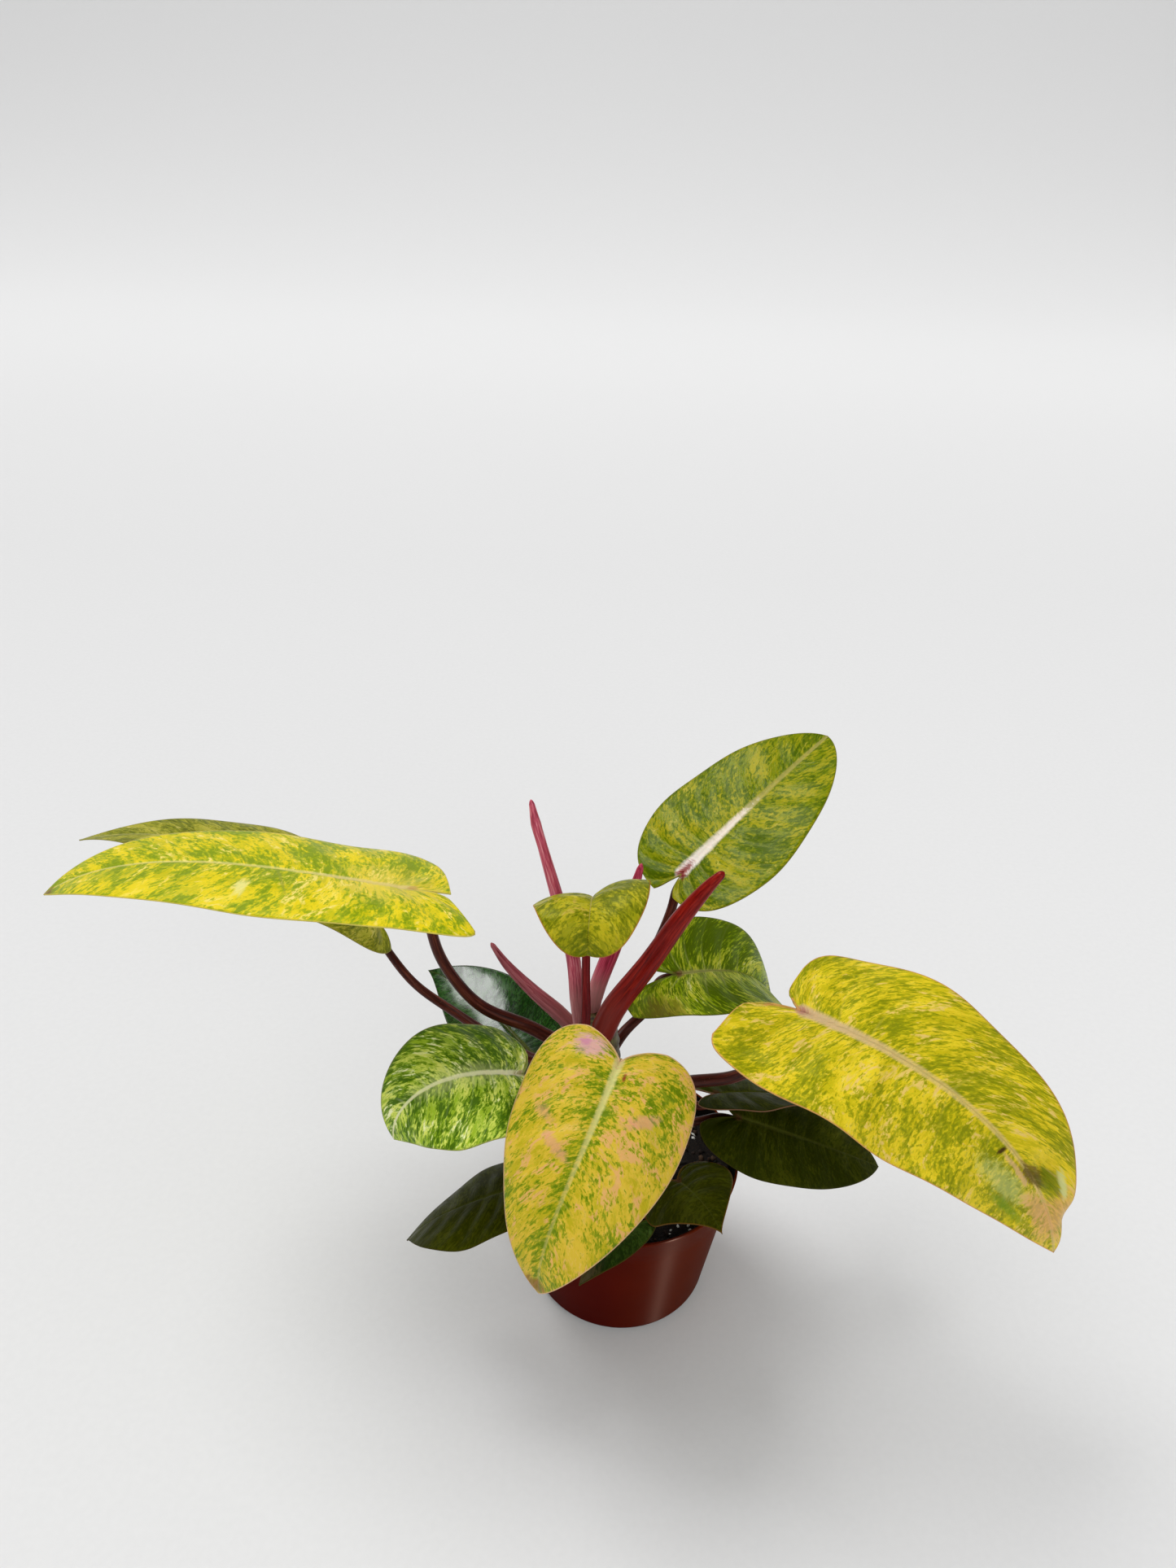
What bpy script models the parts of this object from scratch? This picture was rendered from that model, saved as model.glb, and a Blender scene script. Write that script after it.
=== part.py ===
"""A potted painted lady philodendron in a small nursery pot.

Metres, +Z up. The origin is the middle of the pot's flat base, and the front of the plant faces -Y.
The pot, the potting mix and the stem are turned or swept round forms. Each leaf is a petiole, which
springs from the stem, and a blade, which is a grid bent into a cut, folded and drooping sheet and then
thickened. Young rolled leaves and their sheaths stand as spears on the crown.
"""
from math import cos, pi, radians, sin
from typing import NamedTuple

import bmesh
import bpy
import numpy as np

# Gap left between pieces that touch in life
GAP = 0.0003

# Pot: a thin moulded nursery pot with a rounded foot and drain holes
POT_HEIGHT = 0.090
POT_RIM_RADIUS = 0.0625
POT_BASE_RADIUS = 0.050
POT_WALL = 0.0010
POT_FOOT_ROUND = 0.006
POT_LIP_OUT = 0.0008
POT_LIP_HEIGHT = 0.0022
POT_STEPS = 48
DRAIN_HOLES = 6
DRAIN_RADIUS = 0.004
DRAIN_RING = 0.034

# Potting mix: fills the pot to a little under its rim, with a lumpy top
SOIL_TOP = 0.078
SOIL_LUMP = 0.0016
SOIL_RINGS = 5

# Stem: leans a little to the left, thickest at the crown where the petioles crowd
STEM_ROUTE = ((-0.002, 0.004, 0.058), (-0.006, 0.003, 0.095), (-0.013, 0.000, 0.140), (-0.021, -0.001, 0.188))
STEM_RADII = (0.0075, 0.0080, 0.0092, 0.0118)

# Blade: sheet thickness, depth of the midrib's ridge, and height of the side veins' folds
BLADE_THICKNESS = 0.0008
RIB_DEPTH = 0.0008
VEIN_RELIEF = 0.00035
FULL_RELIEF_WIDTH = 0.060
VEIN_CROWDING = 1.8
LARGE_LEAF = 0.080
COLUMN_SHARES = (0.0, 0.045, 0.27, 0.51, 0.76, 1.0)

# Petiole: a smooth stalk that ends flat under the first part of the midrib
APPROACH = 0.004
PETIOLE_SIDES = 2

LEAF_GREEN = (0.28, 0.33, 0.04, 1.0)
LEAF_YELLOW = (0.55, 0.46, 0.04, 1.0)
LEAF_SHADE = (0.05, 0.07, 0.008, 1.0)
PETIOLE_BROWN = (0.07, 0.018, 0.012, 1.0)
SPEAR_RED = (0.23, 0.018, 0.025, 1.0)
STEM_BROWN = (0.11, 0.07, 0.03, 1.0)
POT_TERRACOTTA = (0.16, 0.035, 0.012, 1.0)
SOIL_BLACK = (0.012, 0.009, 0.007, 1.0)


class Leaf(NamedTuple):
    """One leaf. Angles are in degrees; a share is of the blade's length or of its half width."""
    name: str
    base: tuple            # where the blade joins its petiole
    size: tuple            # blade length, blade width
    aim: tuple             # heading from +X, pitch of the midrib at the base, roll to the right
    bend: tuple            # droop from base to tip, how late it droops, sway to the left, twist to the right
    section: tuple         # fold up from the midrib, curl down towards the margins
    outline: tuple         # lobe length share, how much longer the right lobe is, widest share, tip fullness
    wave: tuple            # margin wave height, number of waves, phase
    stem_height: float     # height at which the petiole leaves the stem
    route: tuple           # points that the petiole passes on its way
    radii: tuple           # petiole radius at the stem and at the blade
    lobes: tuple = (0.45, 0.0, 12)   # half gap between the lobes' ends, slant of the ends, droop
    dents: tuple = ()      # each: place across, place along, half width, half length, depth
    colour: tuple = LEAF_GREEN


LEAVES = (
    Leaf("long_left", base=(-0.111, -0.009, 0.271), size=(0.204, 0.075), aim=(170, 1, 11),
         bend=(40, 2.7, 5, -23), section=(6, 23), outline=(0.12, -0.50, 0.18, 0.53), wave=(0.0006, 2.5, 20),
         stem_height=0.166, route=((-0.038, -0.010, 0.178), (-0.055, -0.009, 0.188), (-0.080, -0.008, 0.199),
                                   (-0.098, -0.008, 0.226), (-0.104, -0.008, 0.250)),
         radii=(0.0042, 0.0024), lobes=(0.10, 0.44, 30), colour=LEAF_YELLOW),
    Leaf("far_left", base=(-0.146, 0.060, 0.200), size=(0.178, 0.062), aim=(176, 42, 2),
         bend=(62, 1.0, -4, 0), section=(10, 25), outline=(0.09, 0.0, 0.25, 0.15), wave=(0.0015, 2.5, 60),
         stem_height=0.143, route=((-0.058, 0.018, 0.141), (-0.102, 0.045, 0.148), (-0.124, 0.056, 0.156),
                                   (-0.137, 0.060, 0.172)),
         radii=(0.0038, 0.0022), colour=LEAF_GREEN),
    Leaf("top_right", base=(0.020, 0.034, 0.257), size=(0.113, 0.081), aim=(36, 32, 3),
         bend=(15, 1.6, 8, 0), section=(9, 15), outline=(0.12, 0.0, 0.25, 0.63), wave=(0.0010, 2.0, 0),
         stem_height=0.178, route=((-0.007, 0.012, 0.196), (0.005, 0.021, 0.222), (0.013, 0.028, 0.242)),
         radii=(0.0032, 0.0024), lobes=(0.16, -0.08, 29), colour=LEAF_GREEN),
    Leaf("centre_small", base=(-0.025, -0.009, 0.271), size=(0.046, 0.058), aim=(-95, 45, 20),
         bend=(172, 1.3, 5, -23), section=(26, 46), outline=(0.09, 0.0, 0.20, 0.56), wave=(0.0008, 2.0, 0),
         stem_height=0.168, route=((-0.0255, -0.012, 0.188), (-0.026, -0.011, 0.204), (-0.027, -0.008, 0.225),
                                   (-0.027, -0.004, 0.250)),
         radii=(0.0030, 0.0018), colour=LEAF_GREEN),
    Leaf("right_back", base=(0.022, 0.024, 0.199), size=(0.102, 0.060), aim=(28, -11, 31),
         bend=(76, 1.6, 11, -13), section=(17, -2), outline=(0.29, 0.37, 0.23, 0.22), wave=(0.0012, 2.0, 120),
         stem_height=0.158, route=((-0.004, 0.014, 0.167), (0.009, 0.020, 0.180)),
         radii=(0.0034, 0.0022), lobes=(0.44, 0.0, 22), colour=LEAF_GREEN),
    Leaf("long_right", base=(0.068, -0.067, 0.257), size=(0.175, 0.085), aim=(-22, -7, 14),
         bend=(71, 1.3, 10, 44), section=(7, 23), outline=(0.125, 0.69, 0.20, 0.51), wave=(0.0037, 2.6, 235),
         stem_height=0.141, route=((0.004, -0.019, 0.153), (0.024, -0.040, 0.184), (0.046, -0.055, 0.204),
                                   (0.058, -0.064, 0.228)),
         radii=(0.0042, 0.0026), lobes=(0.15, -0.29, -4),
         dents=((0.54, -0.16, 0.34, 0.25, 0.015), (-0.50, 0.94, 0.38, 0.05, 0.009)), colour=LEAF_YELLOW),
    Leaf("front", base=(-0.010, -0.068, 0.223), size=(0.119, 0.087), aim=(-113, -29, -6),
         bend=(68, 1.6, -31, -10), section=(12, 55), outline=(0.09, 0.0, 0.20, 0.20), wave=(0.0015, 2.5, 0),
         stem_height=0.133, route=((-0.012, -0.022, 0.147), (-0.014, -0.040, 0.175), (-0.012, -0.054, 0.203)),
         radii=(0.0040, 0.0024), colour=LEAF_YELLOW),
    Leaf("left", base=(-0.056, -0.044, 0.189), size=(0.085, 0.080), aim=(191, 13, 8),
         bend=(110, 1.6, 6, -38), section=(-1, 11), outline=(0.09, -0.20, 0.20, 0.54), wave=(0.0015, 2.0, 0),
         stem_height=0.134, route=((-0.030, -0.011, 0.148), (-0.047, -0.028, 0.169)),
         radii=(0.0036, 0.0022), colour=LEAF_GREEN),
    Leaf("back_left", base=(-0.054, 0.038, 0.121), size=(0.098, 0.057), aim=(134, 15, -15),
         bend=(30, 1.6, 7, -18), section=(3, 29), outline=(0.18, 0.0, 0.30, 0.17), wave=(0.0010, 2.0, 30),
         stem_height=0.102, route=((-0.024, 0.014, 0.108), (-0.042, 0.028, 0.114)),
         radii=(0.0030, 0.0020), colour=LEAF_SHADE),
    Leaf("low_left", base=(-0.051, -0.067, 0.138), size=(0.090, 0.058), aim=(174, -32, 5),
         bend=(29, 1.6, -11, 1), section=(3, 20), outline=(0.17, 0.0, 0.29, 0.19), wave=(0.0010, 2.0, 60),
         stem_height=0.110, route=((-0.022, -0.024, 0.118), (-0.038, -0.048, 0.130)),
         radii=(0.0030, 0.0020), colour=LEAF_SHADE),
    Leaf("low_right", base=(0.060, 0.002, 0.118), size=(0.104, 0.058), aim=(3, -23, 25),
         bend=(16, 1.6, 16, 5), section=(7, 42), outline=(0.18, 0.15, 0.22, 0.55), wave=(0.0012, 2.0, 90),
         stem_height=0.098, route=((0.014, 0.002, 0.106), (0.040, 0.002, 0.114)),
         radii=(0.0032, 0.0020), lobes=(0.40, 0.0, -15), colour=LEAF_SHADE),
    Leaf("right_under", base=(0.046, 0.002, 0.135), size=(0.076, 0.040), aim=(16, -8, -14),
         bend=(36, 1.6, -5, -10), section=(8, 17), outline=(0.17, 0.0, 0.22, 0.13), wave=(0.0010, 2.0, 0),
         stem_height=0.118, route=((0.008, 0.000, 0.124), (0.030, 0.001, 0.130)),
         radii=(0.0032, 0.0020), colour=LEAF_SHADE),
    Leaf("rim_right", base=(0.025, -0.044, 0.119), size=(0.043, 0.053), aim=(-61, 25, 15),
         bend=(50, 1.6, 1, -9), section=(1, 34), outline=(0.18, 0.0, 0.18, 0.05), wave=(0.0006, 2.0, 0),
         stem_height=0.090, route=((0.004, -0.014, 0.100), (0.016, -0.032, 0.110)),
         radii=(0.0024, 0.0016), colour=LEAF_SHADE),
    Leaf("rim_front", base=(0.004, -0.062, 0.105), size=(0.041, 0.028), aim=(-139, -15, 20),
         bend=(30, 1.6, -1, 8), section=(8, 21), outline=(0.19, 0.0, 0.21, 0.30), wave=(0.0002, 2.0, 0),
         stem_height=0.084, route=((-0.004, -0.018, 0.092), (0.004, -0.042, 0.098)),
         radii=(0.0022, 0.0014), colour=LEAF_SHADE),
)


class Spear(NamedTuple):
    """A rolled young leaf or a sheath: its route from inside the crown, and its radius at each point."""
    name: str
    route: tuple
    radii: tuple


SPEARS = (
    Spear("spear_large", ((-0.0175, -0.005, 0.182), (-0.0110, -0.007, 0.203), (0.004, -0.008, 0.232),
                          (0.017, -0.008, 0.259), (0.028, -0.007, 0.277), (0.036, -0.006, 0.287)),
          (0.0064, 0.0067, 0.0057, 0.0054, 0.0045, 0.0022)),
    Spear("spear_left", ((-0.029, 0.001, 0.180), (-0.031, 0.001, 0.200), (-0.034, 0.002, 0.226),
                         (-0.041, 0.003, 0.256), (-0.0495, 0.005, 0.289), (-0.053, 0.0055, 0.302),
                         (-0.056, 0.006, 0.315)),
          (0.0030, 0.0036, 0.0034, 0.0031, 0.0023, 0.0025, 0.0012)),
    Spear("spear_middle", ((-0.023, 0.006, 0.180), (-0.021, 0.008, 0.200), (-0.014, 0.010, 0.226),
                           (-0.007, 0.012, 0.252), (-0.002, 0.014, 0.276)),
          (0.0036, 0.0042, 0.0042, 0.0036, 0.0014)),
    Spear("sheath_back", ((-0.024, 0.004, 0.168), (-0.041, 0.012, 0.180), (-0.055, 0.016, 0.191),
                          (-0.068, 0.019, 0.204), (-0.077, 0.021, 0.217)),
          (0.0040, 0.0052, 0.0041, 0.0027, 0.0012)),
)


def clear_scene():
    for old in list(bpy.data.objects):
        bpy.data.objects.remove(old)


def make_collection(name):
    collection = bpy.data.collections.new(name)
    bpy.context.scene.collection.children.link(collection)
    return collection


def make_material(name, colour, roughness):
    material = bpy.data.materials.get(name) or bpy.data.materials.new(name)
    material.use_nodes = True
    shader = material.node_tree.nodes["Principled BSDF"]
    shader.inputs["Base Color"].default_value = colour
    shader.inputs["Roughness"].default_value = roughness
    shader.inputs["Metallic"].default_value = 0.0
    return material


def add_object(name, mesh, collection, material=None):
    obj = bpy.data.objects.new(name, mesh)
    collection.objects.link(obj)
    if material:
        mesh.materials.clear()
        mesh.materials.append(material)
    return obj


def apply_modifiers(obj):
    """Keeps the form that the object's modifiers give it as its own mesh."""
    bpy.context.view_layer.update()
    graph = bpy.context.evaluated_depsgraph_get()
    shaped = bpy.data.meshes.new_from_object(obj.evaluated_get(graph))
    obj.modifiers.clear()
    obj.data = shaped


def cut(obj, cutter):
    boolean = obj.modifiers.new("cut", "BOOLEAN")
    boolean.operation = "DIFFERENCE"
    boolean.solver = "EXACT"
    boolean.object = cutter


def turned(name, profile, collection, material, steps):
    """Turns a profile of (radius, height) points round the Z axis."""
    mesh = bpy.data.meshes.new(name)
    edges = [(i, i + 1) for i in range(len(profile) - 1)]
    mesh.from_pydata([(radius, 0.0, height) for radius, height in profile], edges, [])
    obj = add_object(name, mesh, collection, material)
    screw = obj.modifiers.new("turn", "SCREW")
    screw.axis = "Z"
    screw.steps = steps
    screw.render_steps = steps
    screw.use_merge_vertices = True
    screw.merge_threshold = 0.00001
    return obj


def smooth_route(points, steps=4):
    """A rounded line through the points, as a Catmull-Rom curve."""
    route = np.array(points, dtype=float)
    padded = np.vstack([2 * route[0] - route[1], route, 2 * route[-1] - route[-2]])
    line = [route[0]]
    for i in range(1, len(padded) - 2):
        before, start, end, after = padded[i - 1:i + 3]
        for step in range(1, steps + 1):
            t = step / steps
            line.append(0.5 * (2 * start + (end - before) * t
                               + (2 * before - 5 * start + 4 * end - after) * t * t
                               + (3 * start - before - 3 * end + after) * t ** 3))
    return np.array(line)


def tube(name, route, radii, collection, material=None, sides=2, extra=0.0, steps=4):
    """A round bar along the route, with a radius at each route point, closed at both ends."""
    line = smooth_route(route, steps)
    given = np.linspace(0.0, 1.0, len(radii))
    thickness = np.interp(np.linspace(0.0, 1.0, len(line)), given, radii) + extra
    curve = bpy.data.curves.new(name, "CURVE")
    curve.dimensions = "3D"
    curve.bevel_depth = 1.0
    curve.bevel_resolution = sides
    curve.use_fill_caps = True
    spline = curve.splines.new("POLY")
    spline.points.add(len(line) - 1)
    for point, place, radius in zip(spline.points, line, thickness):
        point.co = (*place, 1.0)
        point.radius = radius
    swept = bpy.data.objects.new(name + "_curve", curve)
    bpy.context.scene.collection.objects.link(swept)
    bpy.context.view_layer.update()
    graph = bpy.context.evaluated_depsgraph_get()
    mesh = bpy.data.meshes.new_from_object(swept.evaluated_get(graph))
    bpy.data.objects.remove(swept)
    bm = bmesh.new()
    bm.from_mesh(mesh)
    bmesh.ops.remove_doubles(bm, verts=bm.verts, dist=0.000001)
    bmesh.ops.recalc_face_normals(bm, faces=bm.faces)
    bm.to_mesh(mesh)
    bm.free()
    mesh.name = name
    return add_object(name, mesh, collection, material)


def quarter_arc(centre, radius, start, end, count=5):
    angles = [radians(start + (end - start) * i / count) for i in range(count + 1)]
    return [(centre[0] + radius * cos(a), centre[1] + radius * sin(a)) for a in angles]


def wall_radius(height):
    """The pot's outer radius at a height, along its straight tapered side."""
    share = height / POT_HEIGHT
    return POT_BASE_RADIUS + (POT_RIM_RADIUS - POT_BASE_RADIUS) * share


def build_pot(parts, cutters):
    lip_foot = POT_HEIGHT - POT_LIP_HEIGHT
    outer_foot = (wall_radius(POT_FOOT_ROUND) - POT_FOOT_ROUND, POT_FOOT_ROUND)
    inner_round = POT_FOOT_ROUND - POT_WALL
    inside = [(0.0, POT_WALL)]
    inside += quarter_arc(outer_foot, inner_round, -90, 0)
    inside += [(POT_RIM_RADIUS - POT_WALL, POT_HEIGHT)]
    outside = [(POT_RIM_RADIUS + POT_LIP_OUT, POT_HEIGHT)]
    outside += [(wall_radius(lip_foot) + POT_LIP_OUT, lip_foot)]
    outside += [(wall_radius(lip_foot - POT_LIP_OUT), lip_foot - POT_LIP_OUT)]
    outside += quarter_arc(outer_foot, POT_FOOT_ROUND, 0, -90)
    outside += [(0.0, 0.0)]
    pot = turned("pot", inside + outside, parts, make_material("pot_plastic", POT_TERRACOTTA, 0.3), POT_STEPS)
    for i in range(DRAIN_HOLES):
        angle = 2 * pi * (i + 0.5) / DRAIN_HOLES
        bpy.ops.mesh.primitive_cylinder_add(
            vertices=12, radius=DRAIN_RADIUS, depth=0.004,
            location=(DRAIN_RING * cos(angle), DRAIN_RING * sin(angle), POT_WALL / 2))
        hole = bpy.context.object
        keep_as_cutter(hole, cutters)
        cut(pot, hole)
    return pot


def keep_as_cutter(obj, cutters):
    for collection in obj.users_collection:
        collection.objects.unlink(obj)
    cutters.objects.link(obj)
    obj.hide_render = True
    obj.display_type = "WIRE"


def soil_lump(x, y):
    """Height of the mix's lumpy top above or below its mean level."""
    coarse = sin(x * 210 + 1.0) * cos(y * 170 - 0.6)
    fine = sin(x * 520 + y * 310) * 0.6
    return SOIL_LUMP * (coarse + fine) / 1.6


def build_soil(parts, stem_cutter):
    """Profile: over the top, down the pot's inside wall, round its foot and in to the middle."""
    floor = POT_WALL + GAP
    foot = (wall_radius(POT_FOOT_ROUND) - POT_FOOT_ROUND, POT_FOOT_ROUND)
    edge = wall_radius(SOIL_TOP) - POT_WALL - GAP - 0.0002
    top = [(edge * i / SOIL_RINGS, SOIL_TOP) for i in range(SOIL_RINGS + 1)]
    side = quarter_arc(foot, POT_FOOT_ROUND - floor - 0.0001, 0, -90, 3)
    profile = top + side + [(0.0, floor)]
    soil = turned("soil", profile, parts, make_material("potting_mix", SOIL_BLACK, 0.95), POT_STEPS)
    apply_modifiers(soil)
    for vertex in soil.data.vertices:
        reach = (vertex.co.x ** 2 + vertex.co.y ** 2) ** 0.5
        if vertex.co.z > SOIL_TOP - 0.001 and reach < edge * 0.95:
            vertex.co.z += soil_lump(vertex.co.x, vertex.co.y)
    cut(soil, stem_cutter)
    return soil


def build_stem(parts, cutters):
    material = make_material("stem_bark", STEM_BROWN, 0.6)
    stem = tube("stem", STEM_ROUTE, STEM_RADII, parts, material, sides=4, steps=3)
    fat = tube("stem_clearance", STEM_ROUTE, STEM_RADII, cutters, sides=4, steps=3, extra=GAP)
    for vertex in fat.data.vertices:
        if vertex.co.z > STEM_ROUTE[-1][2] - 0.006:
            vertex.co.z += GAP
        if vertex.co.z < STEM_ROUTE[0][2] + 0.004:
            vertex.co.z -= GAP
    keep_as_cutter(fat, cutters)
    return stem, fat


def stem_axis(height):
    """The point on the stem's middle line at a height."""
    line = smooth_route(STEM_ROUTE, 8)
    return tuple(float(np.interp(height, line[:, 2], line[:, k])) for k in range(3))


def spine_frames(leaf, along):
    """Points on the blade's middle line, with its directions along, to the right and up."""
    length = leaf.size[0]
    heading, pitch, roll = leaf.aim
    droop, lateness, sway, twist = leaf.bend
    line = np.linspace(-0.35, 1.0, 271)
    ahead = np.clip(line, 0.0, 1.0)
    behind = np.clip(-line / 0.25, 0.0, 1.4)
    tilt = np.radians(pitch - droop * ahead ** lateness + leaf.lobes[2] * behind)
    turn = np.radians(heading + sway * ahead ** 1.5)
    lean = np.radians(roll + twist * ahead)[:, None]
    forward = np.stack([np.cos(tilt) * np.cos(turn), np.cos(tilt) * np.sin(turn), np.sin(tilt)], 1)
    level_up = np.stack([-np.sin(tilt) * np.cos(turn), -np.sin(tilt) * np.sin(turn), np.cos(tilt)], 1)
    level_right = np.cross(forward, level_up)
    right = level_right * np.cos(lean) - level_up * np.sin(lean)
    up = np.cross(right, forward)
    middle = (forward[1:] + forward[:-1]) / 2 * (line[1] - line[0]) * length
    points = np.vstack([np.zeros(3), np.cumsum(middle, axis=0)])
    origin = np.array([np.interp(0.0, line, points[:, k]) for k in range(3)])
    points = points - origin + np.array(leaf.base)
    share = np.asarray(along) / length
    return [np.stack([np.interp(share, line, track[:, k]) for k in range(3)], -1)
            for track in (points, forward, right, up)]


def bezier(start, first, second, end, count):
    t = np.linspace(0.0, 1.0, count)[:, None]
    corners = [np.array(point, dtype=float) for point in (start, first, second, end)]
    return ((1 - t) ** 3 * corners[0] + 3 * (1 - t) ** 2 * t * corners[1]
            + 3 * (1 - t) * t ** 2 * corners[2] + t ** 3 * corners[3])


def half_margin(leaf, side, rows):
    """The edge of one half, from the lobe's end round to the tip, in shares of half width and length."""
    lobe_share, uneven, widest, fullness = leaf.outline
    gap, slant, _ = leaf.lobes
    lobe = lobe_share * (1 + side * uneven)
    inner, outer = -lobe * (1 + side * slant), -lobe * (1 - side * slant)
    back = bezier((gap, inner), (0.80, outer), (1.0, widest - 0.20), (1.0, widest), 60)
    front = bezier((1.0, widest), (1.0, widest + 0.33), (fullness, 0.86), (0.0, 1.0), 120)
    edge = np.vstack([back, front[1:]])
    steps = np.diff(edge, axis=0) * np.array([leaf.size[1] / 2, leaf.size[0]])
    travelled = np.concatenate([[0.0], np.cumsum(np.hypot(steps[:, 0], steps[:, 1]))])
    stops = np.linspace(0.0, travelled[-1], rows + 1)
    return np.stack([np.interp(stops, travelled, edge[:, k]) for k in range(2)], 1)


def flat_half(leaf, side, rows, shares):
    """Places of one half's grid on the flat blade: each row bows out along a side vein."""
    length, width = leaf.size
    edge = half_margin(leaf, side, rows)
    t = np.linspace(0.0, 1.0, rows + 1)
    middle = np.stack([np.zeros(rows + 1), t ** VEIN_CROWDING], 1)
    bow = (middle + edge) / 2 - np.stack([np.zeros(rows + 1), 0.11 * edge[:, 0] * width / length], 1)
    sinus = np.clip(1 - t * rows / 3, 0.0, 1.0)[:, None]
    bow = bow * (1 - sinus) + sinus * edge[0] * (0.36, 0.75)
    s = np.array(shares)[None, :, None]
    return (1 - s) ** 2 * middle[:, None] + 2 * (1 - s) * s * bow[:, None] + s ** 2 * edge[:, None]


def half_surface(leaf, side, rows, shares):
    """Places of one half's grid in space."""
    length, width = leaf.size
    flat = flat_half(leaf, side, rows, shares)
    across = flat[..., 0] * width / 2
    along = flat[..., 1] * length
    points, forward, right, up = spine_frames(leaf, along)
    fold, curl = radians(leaf.section[0]), radians(leaf.section[1])
    arc_radius = width / 2 / curl
    angle = fold - across / arc_radius
    out = arc_radius * (sin(fold) - np.sin(angle))
    rise = arc_radius * (np.cos(angle) - cos(fold))
    height, waves, phase = leaf.wave
    rise += height * np.sin(2 * pi * waves * along / length + radians(phase) + side) * flat[..., 0] ** 2
    row = np.arange(rows + 1)[:, None]
    s = np.array(shares)[None, :]
    small = min(1.0, width / FULL_RELIEF_WIDTH)
    folds = np.where(row % 2 == 0, 1, -1) * np.sin(pi * s) * np.clip(2 - 2 * row / rows, 0, 1)
    rise += VEIN_RELIEF * small * folds
    rise -= RIB_DEPTH * small * (s == 0) * np.clip(row / 2, 0, 1) * (1 - row / rows)
    for place_across, place_along, half_width, half_length, depth in leaf.dents:
        off_across = (side * flat[..., 0] - place_across) / half_width
        off_along = (flat[..., 1] - place_along) / half_length
        off_rib = np.clip(flat[..., 0] / 0.2, 0.0, 1.0)
        rise -= depth * off_rib * np.exp(-off_across ** 2 - off_along ** 2)
    return points + right * (side * out)[..., None] + up * rise[..., None]


def blade_detail(leaf):
    """Rows along the blade and columns on each side of its midrib."""
    if leaf.size[0] > LARGE_LEAF:
        return 18, COLUMN_SHARES
    return 12, COLUMN_SHARES[:2] + COLUMN_SHARES[2::2] + (1.0,)


def build_blade(leaf, parts):
    rows, shares = blade_detail(leaf)
    columns = len(shares) - 1
    halves = {side: half_surface(leaf, side, rows, shares) for side in (-1, 1)}
    bm = bmesh.new()
    bmesh.ops.create_grid(bm, x_segments=2 * columns, y_segments=rows, size=1.0)
    for vertex in bm.verts:
        column = round(vertex.co.x * columns)
        row = round((vertex.co.y + 1) / 2 * rows)
        vertex.co = halves[1 if column > 0 else -1][row, abs(column)]
    bmesh.ops.remove_doubles(bm, verts=bm.verts, dist=0.00002)
    bmesh.ops.triangulate(bm, faces=bm.faces)
    mesh = bpy.data.meshes.new("blade_" + leaf.name)
    bm.to_mesh(mesh)
    bm.free()
    material = make_material("leaf_" + leaf.name, leaf.colour, 0.35)
    blade = add_object("blade_" + leaf.name, mesh, parts, material)
    solidify = blade.modifiers.new("thickness", "SOLIDIFY")
    solidify.thickness = BLADE_THICKNESS
    solidify.offset = 0.0
    return blade


def build_petiole(leaf, parts, stem_cutter):
    """Runs from inside the stem, which cuts its root flush, to just under the blade's midrib."""
    point, forward, _, up = (track[0] for track in spine_frames(leaf, [0.0]))
    below = leaf.radii[1] + BLADE_THICKNESS / 2 + RIB_DEPTH + GAP
    finish = point + forward * APPROACH - up * below
    approach = point - forward * APPROACH * 2 - up * (below + APPROACH)
    route = (stem_axis(leaf.stem_height), *leaf.route, tuple(approach), tuple(finish))
    waist = sum(leaf.radii) / 2 * 0.92
    material = make_material("petiole_skin", PETIOLE_BROWN, 0.4)
    petiole = tube("petiole_" + leaf.name, route, (leaf.radii[0], waist, leaf.radii[1]), parts, material,
                   sides=PETIOLE_SIDES, steps=3)
    cut(petiole, stem_cutter)
    return petiole


def build_spear(spear, parts, stem_cutter):
    material = make_material("spear_skin", SPEAR_RED, 0.35)
    obj = tube(spear.name, spear.route, spear.radii, parts, material, sides=3, steps=3)
    cut(obj, stem_cutter)
    return obj


def build_plant():
    clear_scene()
    parts = make_collection("potted_philodendron")
    cutters = make_collection("cutters")
    _, stem_cutter = build_stem(parts, cutters)
    build_pot(parts, cutters)
    build_soil(parts, stem_cutter)
    for spear in SPEARS:
        build_spear(spear, parts, stem_cutter)
    for leaf in LEAVES:
        build_petiole(leaf, parts, stem_cutter)
        build_blade(leaf, parts)


build_plant()
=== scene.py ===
"""A potted painted lady philodendron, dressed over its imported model.

Metres, +Z up. The plant's front faces -Y, and the pot rests on the floor at the origin.
"""
from functools import partial
from math import cos, pi, radians, sin
from typing import NamedTuple

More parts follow.
